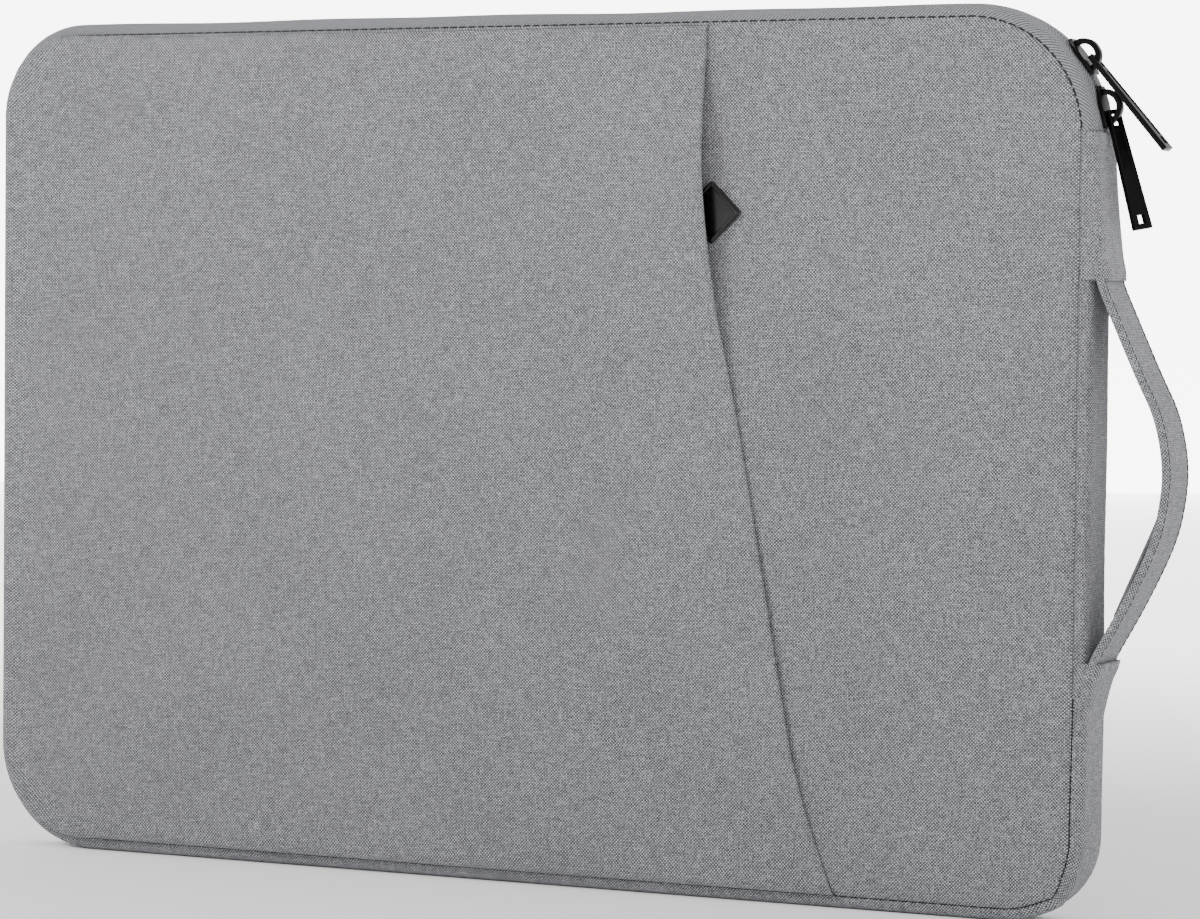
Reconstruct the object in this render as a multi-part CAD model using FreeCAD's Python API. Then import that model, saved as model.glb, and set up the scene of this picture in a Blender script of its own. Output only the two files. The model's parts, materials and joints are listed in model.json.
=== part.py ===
"""Padded laptop sleeve with a perimeter zip, a slanted front pocket and a side handle.

Frame: X across the width (the handle is on +X), Y through the depth (the pocket is on -Y),
Z up.  The origin is at the middle of the bottom gusset.  All sizes are in millimetres.
"""
import FreeCAD, Part
import math
import os

V = FreeCAD.Vector

# Overall size of the sewn body
BODY_WIDTH = 404.0
BODY_HEIGHT = 290.0
CORNER_RADIUS = 42.0        # outline of the gusset seen from the front
HEEL_RADIUS = 27.0          # the same at the tighter corner below the handle
FAR_TOP_RADIUS = 32.0       # the two corners away from the handle are tighter
FAR_FOOT_RADIUS = 37.0
SEAM_SPAN = 21.0            # between the front and the back perimeter seams
SEAM_INSET = 4.2            # how far the gusset stands proud of the seams
GUSSET_SHOULDER = 3.5       # rounding of the gusset towards each seam

# Cloth and padding
FABRIC = 0.9
FOAM = 3.0
LINING = 0.7
POCKET_LINING = 0.45
PLY_GAP = 0.05              # between plies that lie on each other
SEAM_TURN = 0.9             # seam allowance that turns in behind a panel

# Pocket mouth on the front: a slanted line that bows upright near the top and out at its foot
MOUTH_TOP_X = 71.0
MOUTH_BEND_X = 77.5
MOUTH_BEND_Z = BODY_HEIGHT - 100.0
MOUTH_FOOT_BEND_X = 104.0
MOUTH_FOOT_BEND_Z = 50.0
MOUTH_BOTTOM_X = 119.0
MOUTH_TOP_BOW = 1.5         # how far each end stretch sags from its chord
MOUTH_FOOT_BOW = 1.2
HEM_WIDTH = 12.0

# Rubber tag sewn into the pocket mouth
TAG_SIDE = 14.5
TAG_Z = BODY_HEIGHT - 66.0
TAG_THICKNESS = 1.5
TAG_SET_OUT = 0.3           # between the thick part of the tag and the pocket edge

# Zip
ZIP_SLIT = 1.6
COIL_WIDTH = 2.4
COIL_HEIGHT = 1.3
ZIP_END_RIGHT_Z = BODY_HEIGHT - 50.0     # under the upper handle cover
ZIP_END_LEFT_Z = BODY_HEIGHT - 76.0
STOP_LENGTH = 3.0

# Sliders, both on the round corner beside the handle
SLIDER_LENGTH = 13.5
SLIDER_WIDTH = 8.4
SLIDER_PLATE = 1.1
SLIDER_POST_WIDTH = 0.9
SLIDER_POST_LENGTH = 4.0
SLIDER_CLEARANCE = 0.35
LOWER_SLIDER_ANGLE = 12.5   # above the corner's horizontal
UPPER_SLIDER_ANGLE = LOWER_SLIDER_ANGLE + 23.5 * SLIDER_LENGTH / 13.5    # clear of the lower one
CROWN_SPAN = 11.0
CROWN_HEIGHT = 5.15
CROWN_BAR = 1.3
CROWN_WIDTH = 2.4

# Pulls
PULL_LENGTH = 38.0
PULL_THICKNESS = 1.6
PULL_EYE_WIDTH = 4.6
PULL_END_WIDTH = 6.8
PULL_EYE_BAR = 1.2
PULL_WINDOW_WIDTH = 3.0
PULL_WINDOW_LENGTH = 4.0
PULL_HOLE = 3.0
PULL_HOLE_EDGE = 1.6
PULL_RIM = 0.8
PULL_RECESS = 0.3
PULL_SEAT_ALONG = 2.0       # eye bar, from the middle of the crown towards its lower leg
PULL_SEAT_HEIGHT = 1.85     # eye bar, above the slider's plate
LOWER_PULL_LIFT = 3.0       # degrees off the slider's own line
UPPER_PULL_LIFT = 4.5
LOWER_PULL_TWIST = -16.0    # degrees about its own length, face to the front, within the eye's play

# Handle on the right side
STRAP_WIDTH = SEAM_SPAN + 1.0
STRAP_THICKNESS = 2.6
STRAP_CORE = 1.0
STRAP_CORE_INSET = 1.2
STRAP_TOP_Z = BODY_HEIGHT * 203 / 290         # where the strap comes out of the upper cover
STRAP_BOTTOM_Z = BODY_HEIGHT * 83 / 290
STRAP_BOW = 26.0            # outermost point, from the body's side
STRAP_BEND_RADIUS = 42.0
LOOP_STAND_OFF = 7.4        # where the free loop begins, inner face to the body's side
LOOP_GAP = 0.2
TAIL_SEWN = 30.0            # length of strap inside each cover
TAIL_SEWN_THICKNESS = 0.9

# Covers over the strap's ends
UPPER_COVER_TOP_Z = BODY_HEIGHT - 40.5
LOWER_COVER_BOTTOM_Z = STRAP_BOTTOM_Z - 37.0
COVER_CLEARANCE = 0.05
COVER_OVERHANG = 0.5        # of the hollow under a cover past each seam

# Worked-out places
HALF_WIDTH = BODY_WIDTH / 2
HALF_SPAN = SEAM_SPAN / 2
SEAM_HALF_WIDTH = HALF_WIDTH - SEAM_INSET
SEAM_BOTTOM_Z = SEAM_INSET
SEAM_TOP_Z = BODY_HEIGHT - SEAM_INSET
SEAM_RADIUS = CORNER_RADIUS - SEAM_INSET
SEAM_HEEL_RADIUS = HEEL_RADIUS - SEAM_INSET
SEAM_FAR_TOP_RADIUS = FAR_TOP_RADIUS - SEAM_INSET
SEAM_FAR_FOOT_RADIUS = FAR_FOOT_RADIUS - SEAM_INSET
SHOULDER_START = SEAM_INSET - GUSSET_SHOULDER
FLAT_HALF = HALF_SPAN - GUSSET_SHOULDER
PANEL_FACE = HALF_SPAN + SEAM_TURN - 0.3 + FABRIC       # outer face of front and back panels
PANEL_BACK = PANEL_FACE - FABRIC
FOAM_OUTER = PANEL_BACK - PLY_GAP
FOAM_INNER = FOAM_OUTER - FOAM
LINING_OUTER = FOAM_INNER - PLY_GAP
LINING_INNER = LINING_OUTER - LINING
POCKET_BACK = PANEL_FACE + PLY_GAP
POCKET_FRONT = POCKET_BACK + POCKET_LINING
POCKET_PANEL_BACK = POCKET_FRONT + PLY_GAP
POCKET_FACE = POCKET_PANEL_BACK + FABRIC
BAND_INNER = SEAM_INSET - FABRIC                        # inner face of the gusset, past the seam


def save(shape, node):
    """Write one node's solids."""
    if not shape.isValid():
        raise RuntimeError(node + " is not valid")
    shape.exportStep(os.path.join("parts", node + ".step"))


def closed_face(edges):
    """A flat face from edges in order."""
    return Part.Face(Part.Wire(edges))


def line(p, q):
    return Part.LineSegment(p, q).toShape()


def arc(p, mid, q):
    return Part.Arc(p, mid, q).toShape()


def polygon(points):
    """A flat face from corner points."""
    return Part.Face(Part.makePolygon(list(points) + [points[0]]))


def box(x0, x1, y0, y1, z0, z1):
    return Part.makeBox(x1 - x0, y1 - y0, z1 - z0, V(x0, y0, z0))


# ---- outline of the body seen from the front ---------------------------------------------

def outline_face(inset, y):
    """The rounded rectangle that lies inset inside the seams, in the plane y."""
    half = SEAM_HALF_WIDTH - inset
    low = SEAM_BOTTOM_Z + inset
    high = SEAM_TOP_Z - inset
    corners = (
        (1, low, 1, SEAM_HEEL_RADIUS - inset),
        (1, high, -1, SEAM_RADIUS - inset),
        (-1, high, -1, SEAM_FAR_TOP_RADIUS - inset),
        (-1, low, 1, SEAM_FAR_FOOT_RADIUS - inset),
    )
    ring = []
    for side, z, inward, radius in corners:
        diagonal = radius * (1 - math.sqrt(0.5))
        across = V(side * (half - radius), y, z)
        middle = V(side * (half - diagonal), y, z + inward * diagonal)
        upright = V(side * half, y, z + inward * radius)
        ring.append((across, middle, upright))
    turned = (ring[0], ring[1][::-1], ring[2], ring[3][::-1])
    edges = []
    for index, (start, middle, end) in enumerate(turned):
        edges.append(arc(start, middle, end))
        edges.append(line(end, turned[(index + 1) % 4][0]))
    return closed_face(edges)


def plate(inset, y_from, y_to):
    """A flat ply with the body's outline."""
    low = min(y_from, y_to)
    return outline_face(inset, low).extrude(V(0, abs(y_to - y_from), 0))


def panel(sign):
    """A face panel whose edge turns in to the perimeter seam."""
    shell = plate(0, sign * HALF_SPAN, sign * PANEL_FACE)
    return shell.cut(plate(SEAM_TURN, sign * (HALF_SPAN - 1), sign * PANEL_BACK))


# ---- bands that run round the body between the seams ---------------------------------------

def profile_at(points, theta, x, z):
    """Place a profile of (outward, y) points at a point of the seam line.

    theta is the direction of outward: 0 is +X, 90 is +Z.
    """
    turn = FreeCAD.Rotation(V(0, 1, 0), -theta)
    return polygon([turn.multVec(V(out, y, 0)) + V(x, 0, z) for out, y in points])


def run(points, theta, x, z, length):
    """A straight stretch of band, travelling anticlockwise seen from the front."""
    way = math.radians(theta)
    travel = V(-math.sin(way) * length, 0, math.cos(way) * length)
    return profile_at(points, theta, x, z).extrude(travel)


def bend(points, theta, side_x, end_z, radius=SEAM_RADIUS):
    """A quarter turn of band round the corner on side_x of the seam line at end_z."""
    inward = 1 if end_z < BODY_HEIGHT / 2 else -1
    centre = V(side_x * (SEAM_HALF_WIDTH - radius), 0, end_z + inward * radius)
    way = math.radians(theta)
    x = centre.x + radius * math.cos(way)
    z = centre.z + radius * math.sin(way)
    return profile_at(points, theta, x, z).revolve(centre, V(0, -1, 0), 90)


TOP_CENTRE_Z = SEAM_TOP_Z - SEAM_RADIUS
FAR_TOP_CENTRE_Z = SEAM_TOP_Z - SEAM_FAR_TOP_RADIUS
FAR_FOOT_CENTRE_Z = SEAM_BOTTOM_Z + SEAM_FAR_FOOT_RADIUS
HEEL_CENTRE_Z = SEAM_BOTTOM_Z + SEAM_HEEL_RADIUS
CORNER_CENTRE_X = SEAM_HALF_WIDTH - SEAM_RADIUS
HEEL_CENTRE_X = SEAM_HALF_WIDTH - SEAM_HEEL_RADIUS
FAR_TOP_CENTRE_X = SEAM_HALF_WIDTH - SEAM_FAR_TOP_RADIUS
FAR_FOOT_CENTRE_X = SEAM_HALF_WIDTH - SEAM_FAR_FOOT_RADIUS


def joined(pieces):
    """Fuse stretches that meet face to face into one solid."""
    whole = pieces[0].multiFuse(pieces[1:])
    return whole.removeSplitter()


def gusset_ring(points):
    """The band from the zip's left end, down, along the bottom and up to its right end."""
    left_run = ZIP_END_LEFT_Z - FAR_FOOT_CENTRE_Z
    right_run = ZIP_END_RIGHT_Z - HEEL_CENTRE_Z
    base_run = FAR_FOOT_CENTRE_X + HEEL_CENTRE_X
    return joined([
        run(points, 180, -SEAM_HALF_WIDTH, ZIP_END_LEFT_Z, left_run),
        bend(points, 180, -1, SEAM_BOTTOM_Z, SEAM_FAR_FOOT_RADIUS),
        run(points, 270, -FAR_FOOT_CENTRE_X, SEAM_BOTTOM_Z, base_run),
        bend(points, 270, 1, SEAM_BOTTOM_Z, SEAM_HEEL_RADIUS),
        run(points, 0, SEAM_HALF_WIDTH, HEEL_CENTRE_Z, right_run),
    ])


def zip_ring(points):
    """The band from the zip's right end, up and over the top to its left end."""
    return joined([
        run(points, 0, SEAM_HALF_WIDTH, ZIP_END_RIGHT_Z, TOP_CENTRE_Z - ZIP_END_RIGHT_Z),
        bend(points, 0, 1, SEAM_TOP_Z),
        run(points, 90, CORNER_CENTRE_X, SEAM_TOP_Z, CORNER_CENTRE_X + FAR_TOP_CENTRE_X),
        bend(points, 90, -1, SEAM_TOP_Z, SEAM_FAR_TOP_RADIUS),
        run(points, 180, -SEAM_HALF_WIDTH, FAR_TOP_CENTRE_Z, FAR_TOP_CENTRE_Z - ZIP_END_LEFT_Z),
    ])


def shoulder(radius, steps):
    """Points round one gusset shoulder, from its seam side to its flat, for y above 0."""
    points = []
    for step in range(steps + 1):
        angle = math.radians(90 - 90 * step / steps)
        out = SHOULDER_START + radius * math.cos(angle)
        points.append((out, FLAT_HALF + radius * math.sin(angle)))
    return points


SHOULDER_STEPS = 5


def gusset_profile():
    """Outer face out and inner face back, each from the back seam to the front seam."""
    outer = [(-SEAM_TURN, HALF_SPAN)] + shoulder(GUSSET_SHOULDER, SHOULDER_STEPS)
    inner = [(-SEAM_TURN, HALF_SPAN - FABRIC)] + shoulder(GUSSET_SHOULDER - FABRIC, SHOULDER_STEPS)
    outer_front = [(out, -y) for out, y in reversed(outer)]
    inner_front = [(out, -y) for out, y in inner]
    return outer + outer_front + inner_front + list(reversed(inner))


def tape_profile(sign):
    """One half of the gusset's section, from its seam to the edge beside the slit."""
    outer = [(-SEAM_TURN, HALF_SPAN)] + shoulder(GUSSET_SHOULDER, SHOULDER_STEPS)
    inner = [(-SEAM_TURN, HALF_SPAN - FABRIC)] + shoulder(GUSSET_SHOULDER - FABRIC, SHOULDER_STEPS)
    edge = [(SEAM_INSET, ZIP_SLIT / 2), (BAND_INNER, ZIP_SLIT / 2)]
    points = outer + edge + list(reversed(inner))
    return [(out, sign * y) for out, y in points]


def rectangle(out_from, out_to, y_from, y_to):
    return [(out_from, y_from), (out_to, y_from), (out_to, y_to), (out_from, y_to)]


def gusset_foam():
    half = FLAT_HALF + 0.3
    return gusset_ring(rectangle(PLY_GAP, BAND_INNER - PLY_GAP, -half, half))


def gusset_lining():
    half = LINING_OUTER
    return gusset_ring(rectangle(-LINING, 0, -half, half))


def seam_binding(sign):
    """Tape bound round the raw seam edges inside the body."""
    y_outer = sign * (HALF_SPAN - FABRIC - PLY_GAP)
    y_inner = sign * (FOAM_INNER + PLY_GAP)
    profile = rectangle(-SEAM_TURN, SEAM_TURN * 0.7, y_inner, y_outer)
    return joined([gusset_ring(profile), zip_ring(profile)])


def zip_coil(sign):
    y_near = sign * ZIP_SLIT / 2
    y_far = sign * (ZIP_SLIT / 2 + COIL_WIDTH)
    return zip_ring(rectangle(BAND_INNER - COIL_HEIGHT, BAND_INNER, y_near, y_far))


def zip_end_stops():
    """A block across the slit at each end of the zip."""
    half = ZIP_SLIT / 2 - PLY_GAP
    low = BAND_INNER - COIL_HEIGHT
    profile = rectangle(low, SEAM_INSET, -half, half)
    left_z = ZIP_END_LEFT_Z + STOP_LENGTH
    return Part.makeCompound([
        run(profile, 0, SEAM_HALF_WIDTH, ZIP_END_RIGHT_Z, STOP_LENGTH),
        run(profile, 180, -SEAM_HALF_WIDTH, left_z, STOP_LENGTH),
    ])


# ---- pocket --------------------------------------------------------------------------------

def mouth_side(shift, y_from, y_to):
    """Everything to the left of the pocket's mouth, moved right by shift."""
    low = -10.0
    high = BODY_HEIGHT + 10.0
    far = -HALF_WIDTH - 10.0
    under = V(MOUTH_BOTTOM_X + shift, y_from, low)
    foot = V(MOUTH_BOTTOM_X + shift, y_from, SEAM_BOTTOM_Z)
    ankle = V(MOUTH_FOOT_BEND_X + shift, y_from, MOUTH_FOOT_BEND_Z)
    knee = V(MOUTH_BEND_X + shift, y_from, MOUTH_BEND_Z)
    top = V(MOUTH_TOP_X + shift, y_from, SEAM_TOP_Z)
    lower_middle = (foot + ankle) * 0.5 - V(MOUTH_FOOT_BOW, 0, 0)
    upper_middle = (knee + top) * 0.5 - V(MOUTH_TOP_BOW, 0, 0)
    head = V(MOUTH_TOP_X + shift, y_from, high)
    edges = [
        line(under, foot),
        arc(foot, lower_middle, ankle),
        line(ankle, knee),
        arc(knee, upper_middle, top),
        line(top, head),
        line(head, V(far, y_from, high)),
        line(V(far, y_from, high), V(far, y_from, low)),
        line(V(far, y_from, low), under),
    ]
    return closed_face(edges).extrude(V(0, y_to - y_from, 0))


def mouth_x(z):
    """X of the mouth at a height between its bend and its top, on the bow's chord and sag."""
    share = (z - MOUTH_BEND_Z) / (SEAM_TOP_Z - MOUTH_BEND_Z)
    chord = MOUTH_BEND_X + share * (MOUTH_TOP_X - MOUTH_BEND_X)
    return chord - 4 * MOUTH_TOP_BOW * share * (1 - share)


def pocket_panel():
    shell = plate(0, -POCKET_BACK, -POCKET_FACE)
    hollow = plate(SEAM_TURN, -(POCKET_BACK - 1), -POCKET_PANEL_BACK)
    left = mouth_side(0, -POCKET_FACE - 1, -POCKET_BACK + 1)
    return shell.cut(hollow).common(left)


def tag_prism(y_from, y_to, margin):
    """The tag's square, standing on a corner, with its middle on the mouth."""
    reach = TAG_SIDE / math.sqrt(2) + margin
    x = mouth_x(TAG_Z)
    corners = [
        V(x + reach, y_from, TAG_Z),
        V(x, y_from, TAG_Z + reach),
        V(x - reach, y_from, TAG_Z),
        V(x, y_from, TAG_Z - reach),
    ]
    return polygon(corners).extrude(V(0, y_to - y_from, 0))


def pocket_tag():
    """A thin sewn half under the panel and a thick half in front of the mouth."""
    sewn = tag_prism(-POCKET_FRONT, -POCKET_BACK, 0)
    thick = tag_prism(-(POCKET_BACK + TAG_THICKNESS), -POCKET_BACK, 0)
    thick = thick.cut(mouth_side(TAG_SET_OUT, -POCKET_FACE - 5, 0))
    return sewn.fuse(thick).removeSplitter()


def pocket_ply(shift_from, shift_to):
    """A thin ply inside the pocket between two lines parallel to the mouth."""
    ply = plate(SEAM_TURN + PLY_GAP, -POCKET_BACK, -POCKET_FRONT)
    ply = ply.common(mouth_side(shift_to, -POCKET_FACE, 0))
    if shift_from is not None:
        ply = ply.cut(mouth_side(shift_from, -POCKET_FACE, 0))
    return ply.cut(tag_prism(-POCKET_FACE, 0, PLY_GAP))


def pocket_lining():
    return pocket_ply(None, -HEM_WIDTH)


def pocket_hem_tape():
    return pocket_ply(-HEM_WIDTH, -PLY_GAP)


# ---- zip sliders and pulls ---------------------------------------------------------------

CORNER_X = HALF_WIDTH - CORNER_RADIUS
CORNER_Z = BODY_HEIGHT - CORNER_RADIUS


def on_corner(shape, angle):
    """Turn a shape from the corner's own axes (X outward, Z along) to its place."""
    placed = shape.copy()
    placed.rotate(V(0, 0, 0), V(0, 1, 0), -angle)
    placed.translate(V(CORNER_X, 0, CORNER_Z))
    return placed


def slider_plates():
    """Two plates and the post between them, with the zip's slit round the post."""
    top_in = CORNER_RADIUS + SLIDER_CLEARANCE
    coil_in = CORNER_RADIUS - FABRIC - COIL_HEIGHT
    half_length = SLIDER_LENGTH / 2
    under_out = math.sqrt((coil_in - SLIDER_CLEARANCE) ** 2 - half_length ** 2)
    half_width = SLIDER_WIDTH / 2
    half_post = SLIDER_POST_WIDTH / 2
    half_post_length = SLIDER_POST_LENGTH / 2
    nose = SLIDER_WIDTH * 0.3
    outline = [
        (-half_length, -half_width + nose / 2),
        (half_length * 0.2, -half_width),
        (half_length, -nose),
        (half_length, nose),
        (half_length * 0.2, half_width),
        (-half_length, half_width - nose / 2),
    ]
    top = polygon([V(top_in, y, z) for z, y in outline]).extrude(V(SLIDER_PLATE, 0, 0))
    under = polygon([V(under_out - SLIDER_PLATE, y, z) for z, y in outline])
    under = under.extrude(V(SLIDER_PLATE, 0, 0))
    post = box(under_out, top_in, -half_post, half_post, -half_post_length, half_post_length)
    return top.multiFuse([under, post]).removeSplitter()


def slider_crown():
    """The arched bar on the slider that carries the pull."""
    foot = CORNER_RADIUS + SLIDER_CLEARANCE + SLIDER_PLATE
    outer_half = CROWN_SPAN / 2
    inner_half = outer_half - CROWN_BAR
    outer_top = foot + CROWN_HEIGHT
    inner_top = outer_top - CROWN_BAR
    edges = [
        arc(V(foot, 0, -outer_half), V(outer_top, 0, 0), V(foot, 0, outer_half)),
        line(V(foot, 0, outer_half), V(foot, 0, inner_half)),
        arc(V(foot, 0, inner_half), V(inner_top, 0, 0), V(foot, 0, -inner_half)),
        line(V(foot, 0, -inner_half), V(foot, 0, -outer_half)),
    ]
    face = closed_face(edges)
    face.translate(V(0, -CROWN_WIDTH / 2, 0))
    return face.extrude(V(0, CROWN_WIDTH, 0))


PULL_PIVOT_OUT = CORNER_RADIUS + SLIDER_CLEARANCE + SLIDER_PLATE + PULL_SEAT_HEIGHT


def pull():
    """A tapered plate with an eye at the crown and a square hole at its end.

    Its eye bar lies along Y through the origin and its length runs along -Z.
    """
    half_thickness = PULL_THICKNESS / 2
    eye_end = PULL_EYE_BAR / 2 + PULL_WINDOW_LENGTH
    outline = [
        (PULL_EYE_WIDTH / 2, PULL_EYE_BAR / 2),
        (PULL_EYE_WIDTH / 2, -eye_end),
        (PULL_END_WIDTH / 2, -PULL_LENGTH),
    ]
    ring = outline + [(-y, z) for y, z in reversed(outline)]
    body = polygon([V(-half_thickness, y, z) for y, z in ring])
    body = body.extrude(V(PULL_THICKNESS, 0, 0))
    half_window = PULL_WINDOW_WIDTH / 2
    window = box(-3, 3, -half_window, half_window, -eye_end, -PULL_EYE_BAR / 2)
    hole_low = -PULL_LENGTH + PULL_HOLE_EDGE
    hole_half = PULL_HOLE / 2
    hole = box(-3, 3, -hole_half, hole_half, hole_low, hole_low + PULL_HOLE)
    start = -eye_end - 2 * PULL_RIM
    end = hole_low + PULL_HOLE + PULL_RIM
    slope = (PULL_END_WIDTH - PULL_EYE_WIDTH) / 2 / (PULL_LENGTH - eye_end)
    half_start = PULL_EYE_WIDTH / 2 - PULL_RIM + slope * 2 * PULL_RIM
    half_end = PULL_EYE_WIDTH / 2 - PULL_RIM + slope * (-end - eye_end)
    cuts = [window, hole]
    for side in (-1, 1):
        corners = [(half_start, start), (half_end, end), (-half_end, end), (-half_start, start)]
        floor_x = side * (half_thickness - PULL_RECESS)
        recess = polygon([V(floor_x, y, z) for y, z in corners])
        cuts.append(recess.extrude(V(side * 2, 0, 0)))
    bar_cut = half_thickness - PULL_EYE_BAR / 2
    for side in (-1, 1):
        outer = side * half_thickness
        inner = side * (half_thickness - bar_cut)
        x0, x1 = min(inner, outer * 2), max(inner, outer * 2)
        cuts.append(box(x0, x1, -half_window, half_window, -PULL_EYE_BAR / 2, 2))
    return body.cut(Part.makeCompound(cuts))


def placed_pull(angle, lift, twist):
    """The pull at its slider: turned about its length, lifted, then put on the crown."""
    piece = pull()
    piece.rotate(V(0, 0, 0), V(0, 0, 1), twist)
    piece.rotate(V(0, 0, 0), V(0, 1, 0), -lift)
    piece.translate(V(PULL_PIVOT_OUT, 0, -PULL_SEAT_ALONG))
    return on_corner(piece, angle)


# ---- handle -------------------------------------------------------------------------------

def strap_lines():
    """Outer face of the strap: its two straight legs' crossing point and their slopes."""
    root_out = HALF_WIDTH + COVER_CLEARANCE + TAIL_SEWN_THICKNESS + STRAP_THICKNESS
    half_span = (STRAP_TOP_Z - STRAP_BOTTOM_Z) / 2
    crown_out = HALF_WIDTH + STRAP_BOW
    slope = (crown_out - root_out) / half_span
    for _ in range(20):
        half_turn = math.atan(slope)
        rise = STRAP_BEND_RADIUS * (1 / math.cos(half_turn) - 1)
        slope = (crown_out + rise - root_out) / half_span
    return root_out, slope


STRAP_ROOT_OUT, STRAP_SLOPE = strap_lines()
STRAP_MIDDLE_Z = (STRAP_TOP_Z + STRAP_BOTTOM_Z) / 2


def strap_face(depth_from, depth_to):
    """The strap's side view between two depths under its outer face, in the plane y = 0."""
    half_turn = math.atan(STRAP_SLOPE)
    half_span = (STRAP_TOP_Z - STRAP_BOTTOM_Z) / 2
    vertex_x = STRAP_ROOT_OUT + STRAP_SLOPE * half_span
    centre_x = vertex_x - STRAP_BEND_RADIUS / math.cos(half_turn)
    curves = []
    for depth in (depth_from, depth_to):
        radius = STRAP_BEND_RADIUS - depth
        shift = V(-depth * math.cos(half_turn), 0, 0)
        slip = depth * math.sin(half_turn)
        root_top = V(STRAP_ROOT_OUT, 0, STRAP_TOP_Z) + shift - V(0, 0, slip)
        root_low = V(STRAP_ROOT_OUT, 0, STRAP_BOTTOM_Z) + shift + V(0, 0, slip)
        turn_x = centre_x + radius * math.cos(half_turn)
        turn_z = radius * math.sin(half_turn)
        turn_top = V(turn_x, 0, STRAP_MIDDLE_Z + turn_z)
        turn_low = V(turn_x, 0, STRAP_MIDDLE_Z - turn_z)
        crown = V(centre_x + radius, 0, STRAP_MIDDLE_Z)
        curves.append((root_top, turn_top, crown, turn_low, root_low))
    outer, inner = curves
    edges = [
        line(outer[0], outer[1]),
        arc(outer[1], outer[2], outer[3]),
        line(outer[3], outer[4]),
        line(outer[4], inner[4]),
        line(inner[4], inner[3]),
        arc(inner[3], inner[2], inner[1]),
        line(inner[1], inner[0]),
        line(inner[0], outer[0]),
    ]
    return closed_face(edges)


def strap(depth_from, depth_to, width):
    face = strap_face(depth_from, depth_to)
    face.translate(V(0, -width / 2, 0))
    return face.extrude(V(0, width, 0))


def loop_ends():
    """Heights where the loop's inner face stands LOOP_STAND_OFF from the body's side."""
    outer_x = HALF_WIDTH + LOOP_STAND_OFF + STRAP_THICKNESS / math.cos(math.atan(STRAP_SLOPE))
    run_in = (outer_x - STRAP_ROOT_OUT) / STRAP_SLOPE
    return STRAP_BOTTOM_Z + run_in, STRAP_TOP_Z - run_in


LOOP_LOW_Z, LOOP_HIGH_Z = loop_ends()


def slab(z_from, z_to):
    far = HALF_WIDTH + 2 * STRAP_BOW
    return box(0, far, -STRAP_WIDTH, STRAP_WIDTH, z_from, z_to)


def handle_wrap():
    """The cloth round the loop, closed over its core on all sides."""
    solid = strap(0, STRAP_THICKNESS, STRAP_WIDTH).common(slab(LOOP_LOW_Z, LOOP_HIGH_Z))
    hole_width = STRAP_WIDTH - 2 * STRAP_CORE_INSET
    skin = (STRAP_THICKNESS - STRAP_CORE) / 2
    return solid.cut(strap(skin, STRAP_THICKNESS - skin, hole_width))


def handle_core():
    skin = (STRAP_THICKNESS - STRAP_CORE) / 2 + PLY_GAP
    width = STRAP_WIDTH - 2 * STRAP_CORE_INSET - 2 * PLY_GAP
    body = strap(skin, STRAP_THICKNESS - skin, width)
    return body.common(slab(LOOP_LOW_Z + PLY_GAP, LOOP_HIGH_Z - PLY_GAP))


def tail(upper):
    """The strap's fixed end: the leg outside the cover and the sewn end inside it."""
    whole = strap(0, STRAP_THICKNESS, STRAP_WIDTH)
    sewn_in = HALF_WIDTH + COVER_CLEARANCE
    sewn_out = sewn_in + TAIL_SEWN_THICKNESS
    shrink = STRAP_THICKNESS * math.sin(math.atan(STRAP_SLOPE))
    root_in = STRAP_ROOT_OUT - STRAP_THICKNESS * math.cos(math.atan(STRAP_SLOPE))
    if upper:
        leg = whole.common(slab(LOOP_HIGH_Z + LOOP_GAP, STRAP_TOP_Z))
        root, inner, end = STRAP_TOP_Z, STRAP_TOP_Z - shrink, STRAP_TOP_Z + TAIL_SEWN
    else:
        leg = whole.common(slab(STRAP_BOTTOM_Z, LOOP_LOW_Z - LOOP_GAP))
        root, inner, end = STRAP_BOTTOM_Z, STRAP_BOTTOM_Z + shrink, STRAP_BOTTOM_Z - TAIL_SEWN
    sewn = polygon([
        V(STRAP_ROOT_OUT, 0, root),
        V(root_in, 0, inner),
        V(sewn_in, 0, end),
        V(sewn_out, 0, end),
    ])
    sewn.translate(V(0, -STRAP_WIDTH / 2, 0))
    return leg.fuse(sewn.extrude(V(0, STRAP_WIDTH, 0))).removeSplitter()


# ---- covers over the strap's ends -----------------------------------------------------------

def cover(upper):
    """Cloth sewn over the strap's end, flaring out to the mouth the strap leaves by."""
    flush = HALF_WIDTH + COVER_CLEARANCE
    tail_end = STRAP_TOP_Z + TAIL_SEWN if upper else STRAP_BOTTOM_Z - TAIL_SEWN
    mouth_z = STRAP_TOP_Z if upper else STRAP_BOTTOM_Z
    far_z = UPPER_COVER_TOP_Z if upper else LOWER_COVER_BOTTOM_Z
    lift = COVER_CLEARANCE
    hollow_line = [
        (flush, far_z),
        (flush + TAIL_SEWN_THICKNESS + lift, tail_end),
        (STRAP_ROOT_OUT + lift, mouth_z),
    ]
    half_hollow = HALF_SPAN + COVER_OVERHANG + COVER_CLEARANCE
    half_cover = half_hollow + FABRIC
    edge_x = SEAM_HALF_WIDTH + COVER_CLEARANCE
    shells = []
    way = 1 if upper else -1
    for grow, half, over in ((FABRIC, half_cover, 0), (0, half_hollow, 5 * way)):
        points = [V(x + grow, -half, z) for x, z in hollow_line]
        if over:
            points.insert(0, points[0] + V(0, 0, over))
            points.append(points[-1] - V(0, 0, over))
        points.append(V(edge_x - abs(over), -half, mouth_z - over))
        points.append(V(edge_x - abs(over), -half, far_z + over))
        shells.append(polygon(points).extrude(V(0, 2 * half, 0)))
    return shells[0].cut(shells[1])


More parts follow.
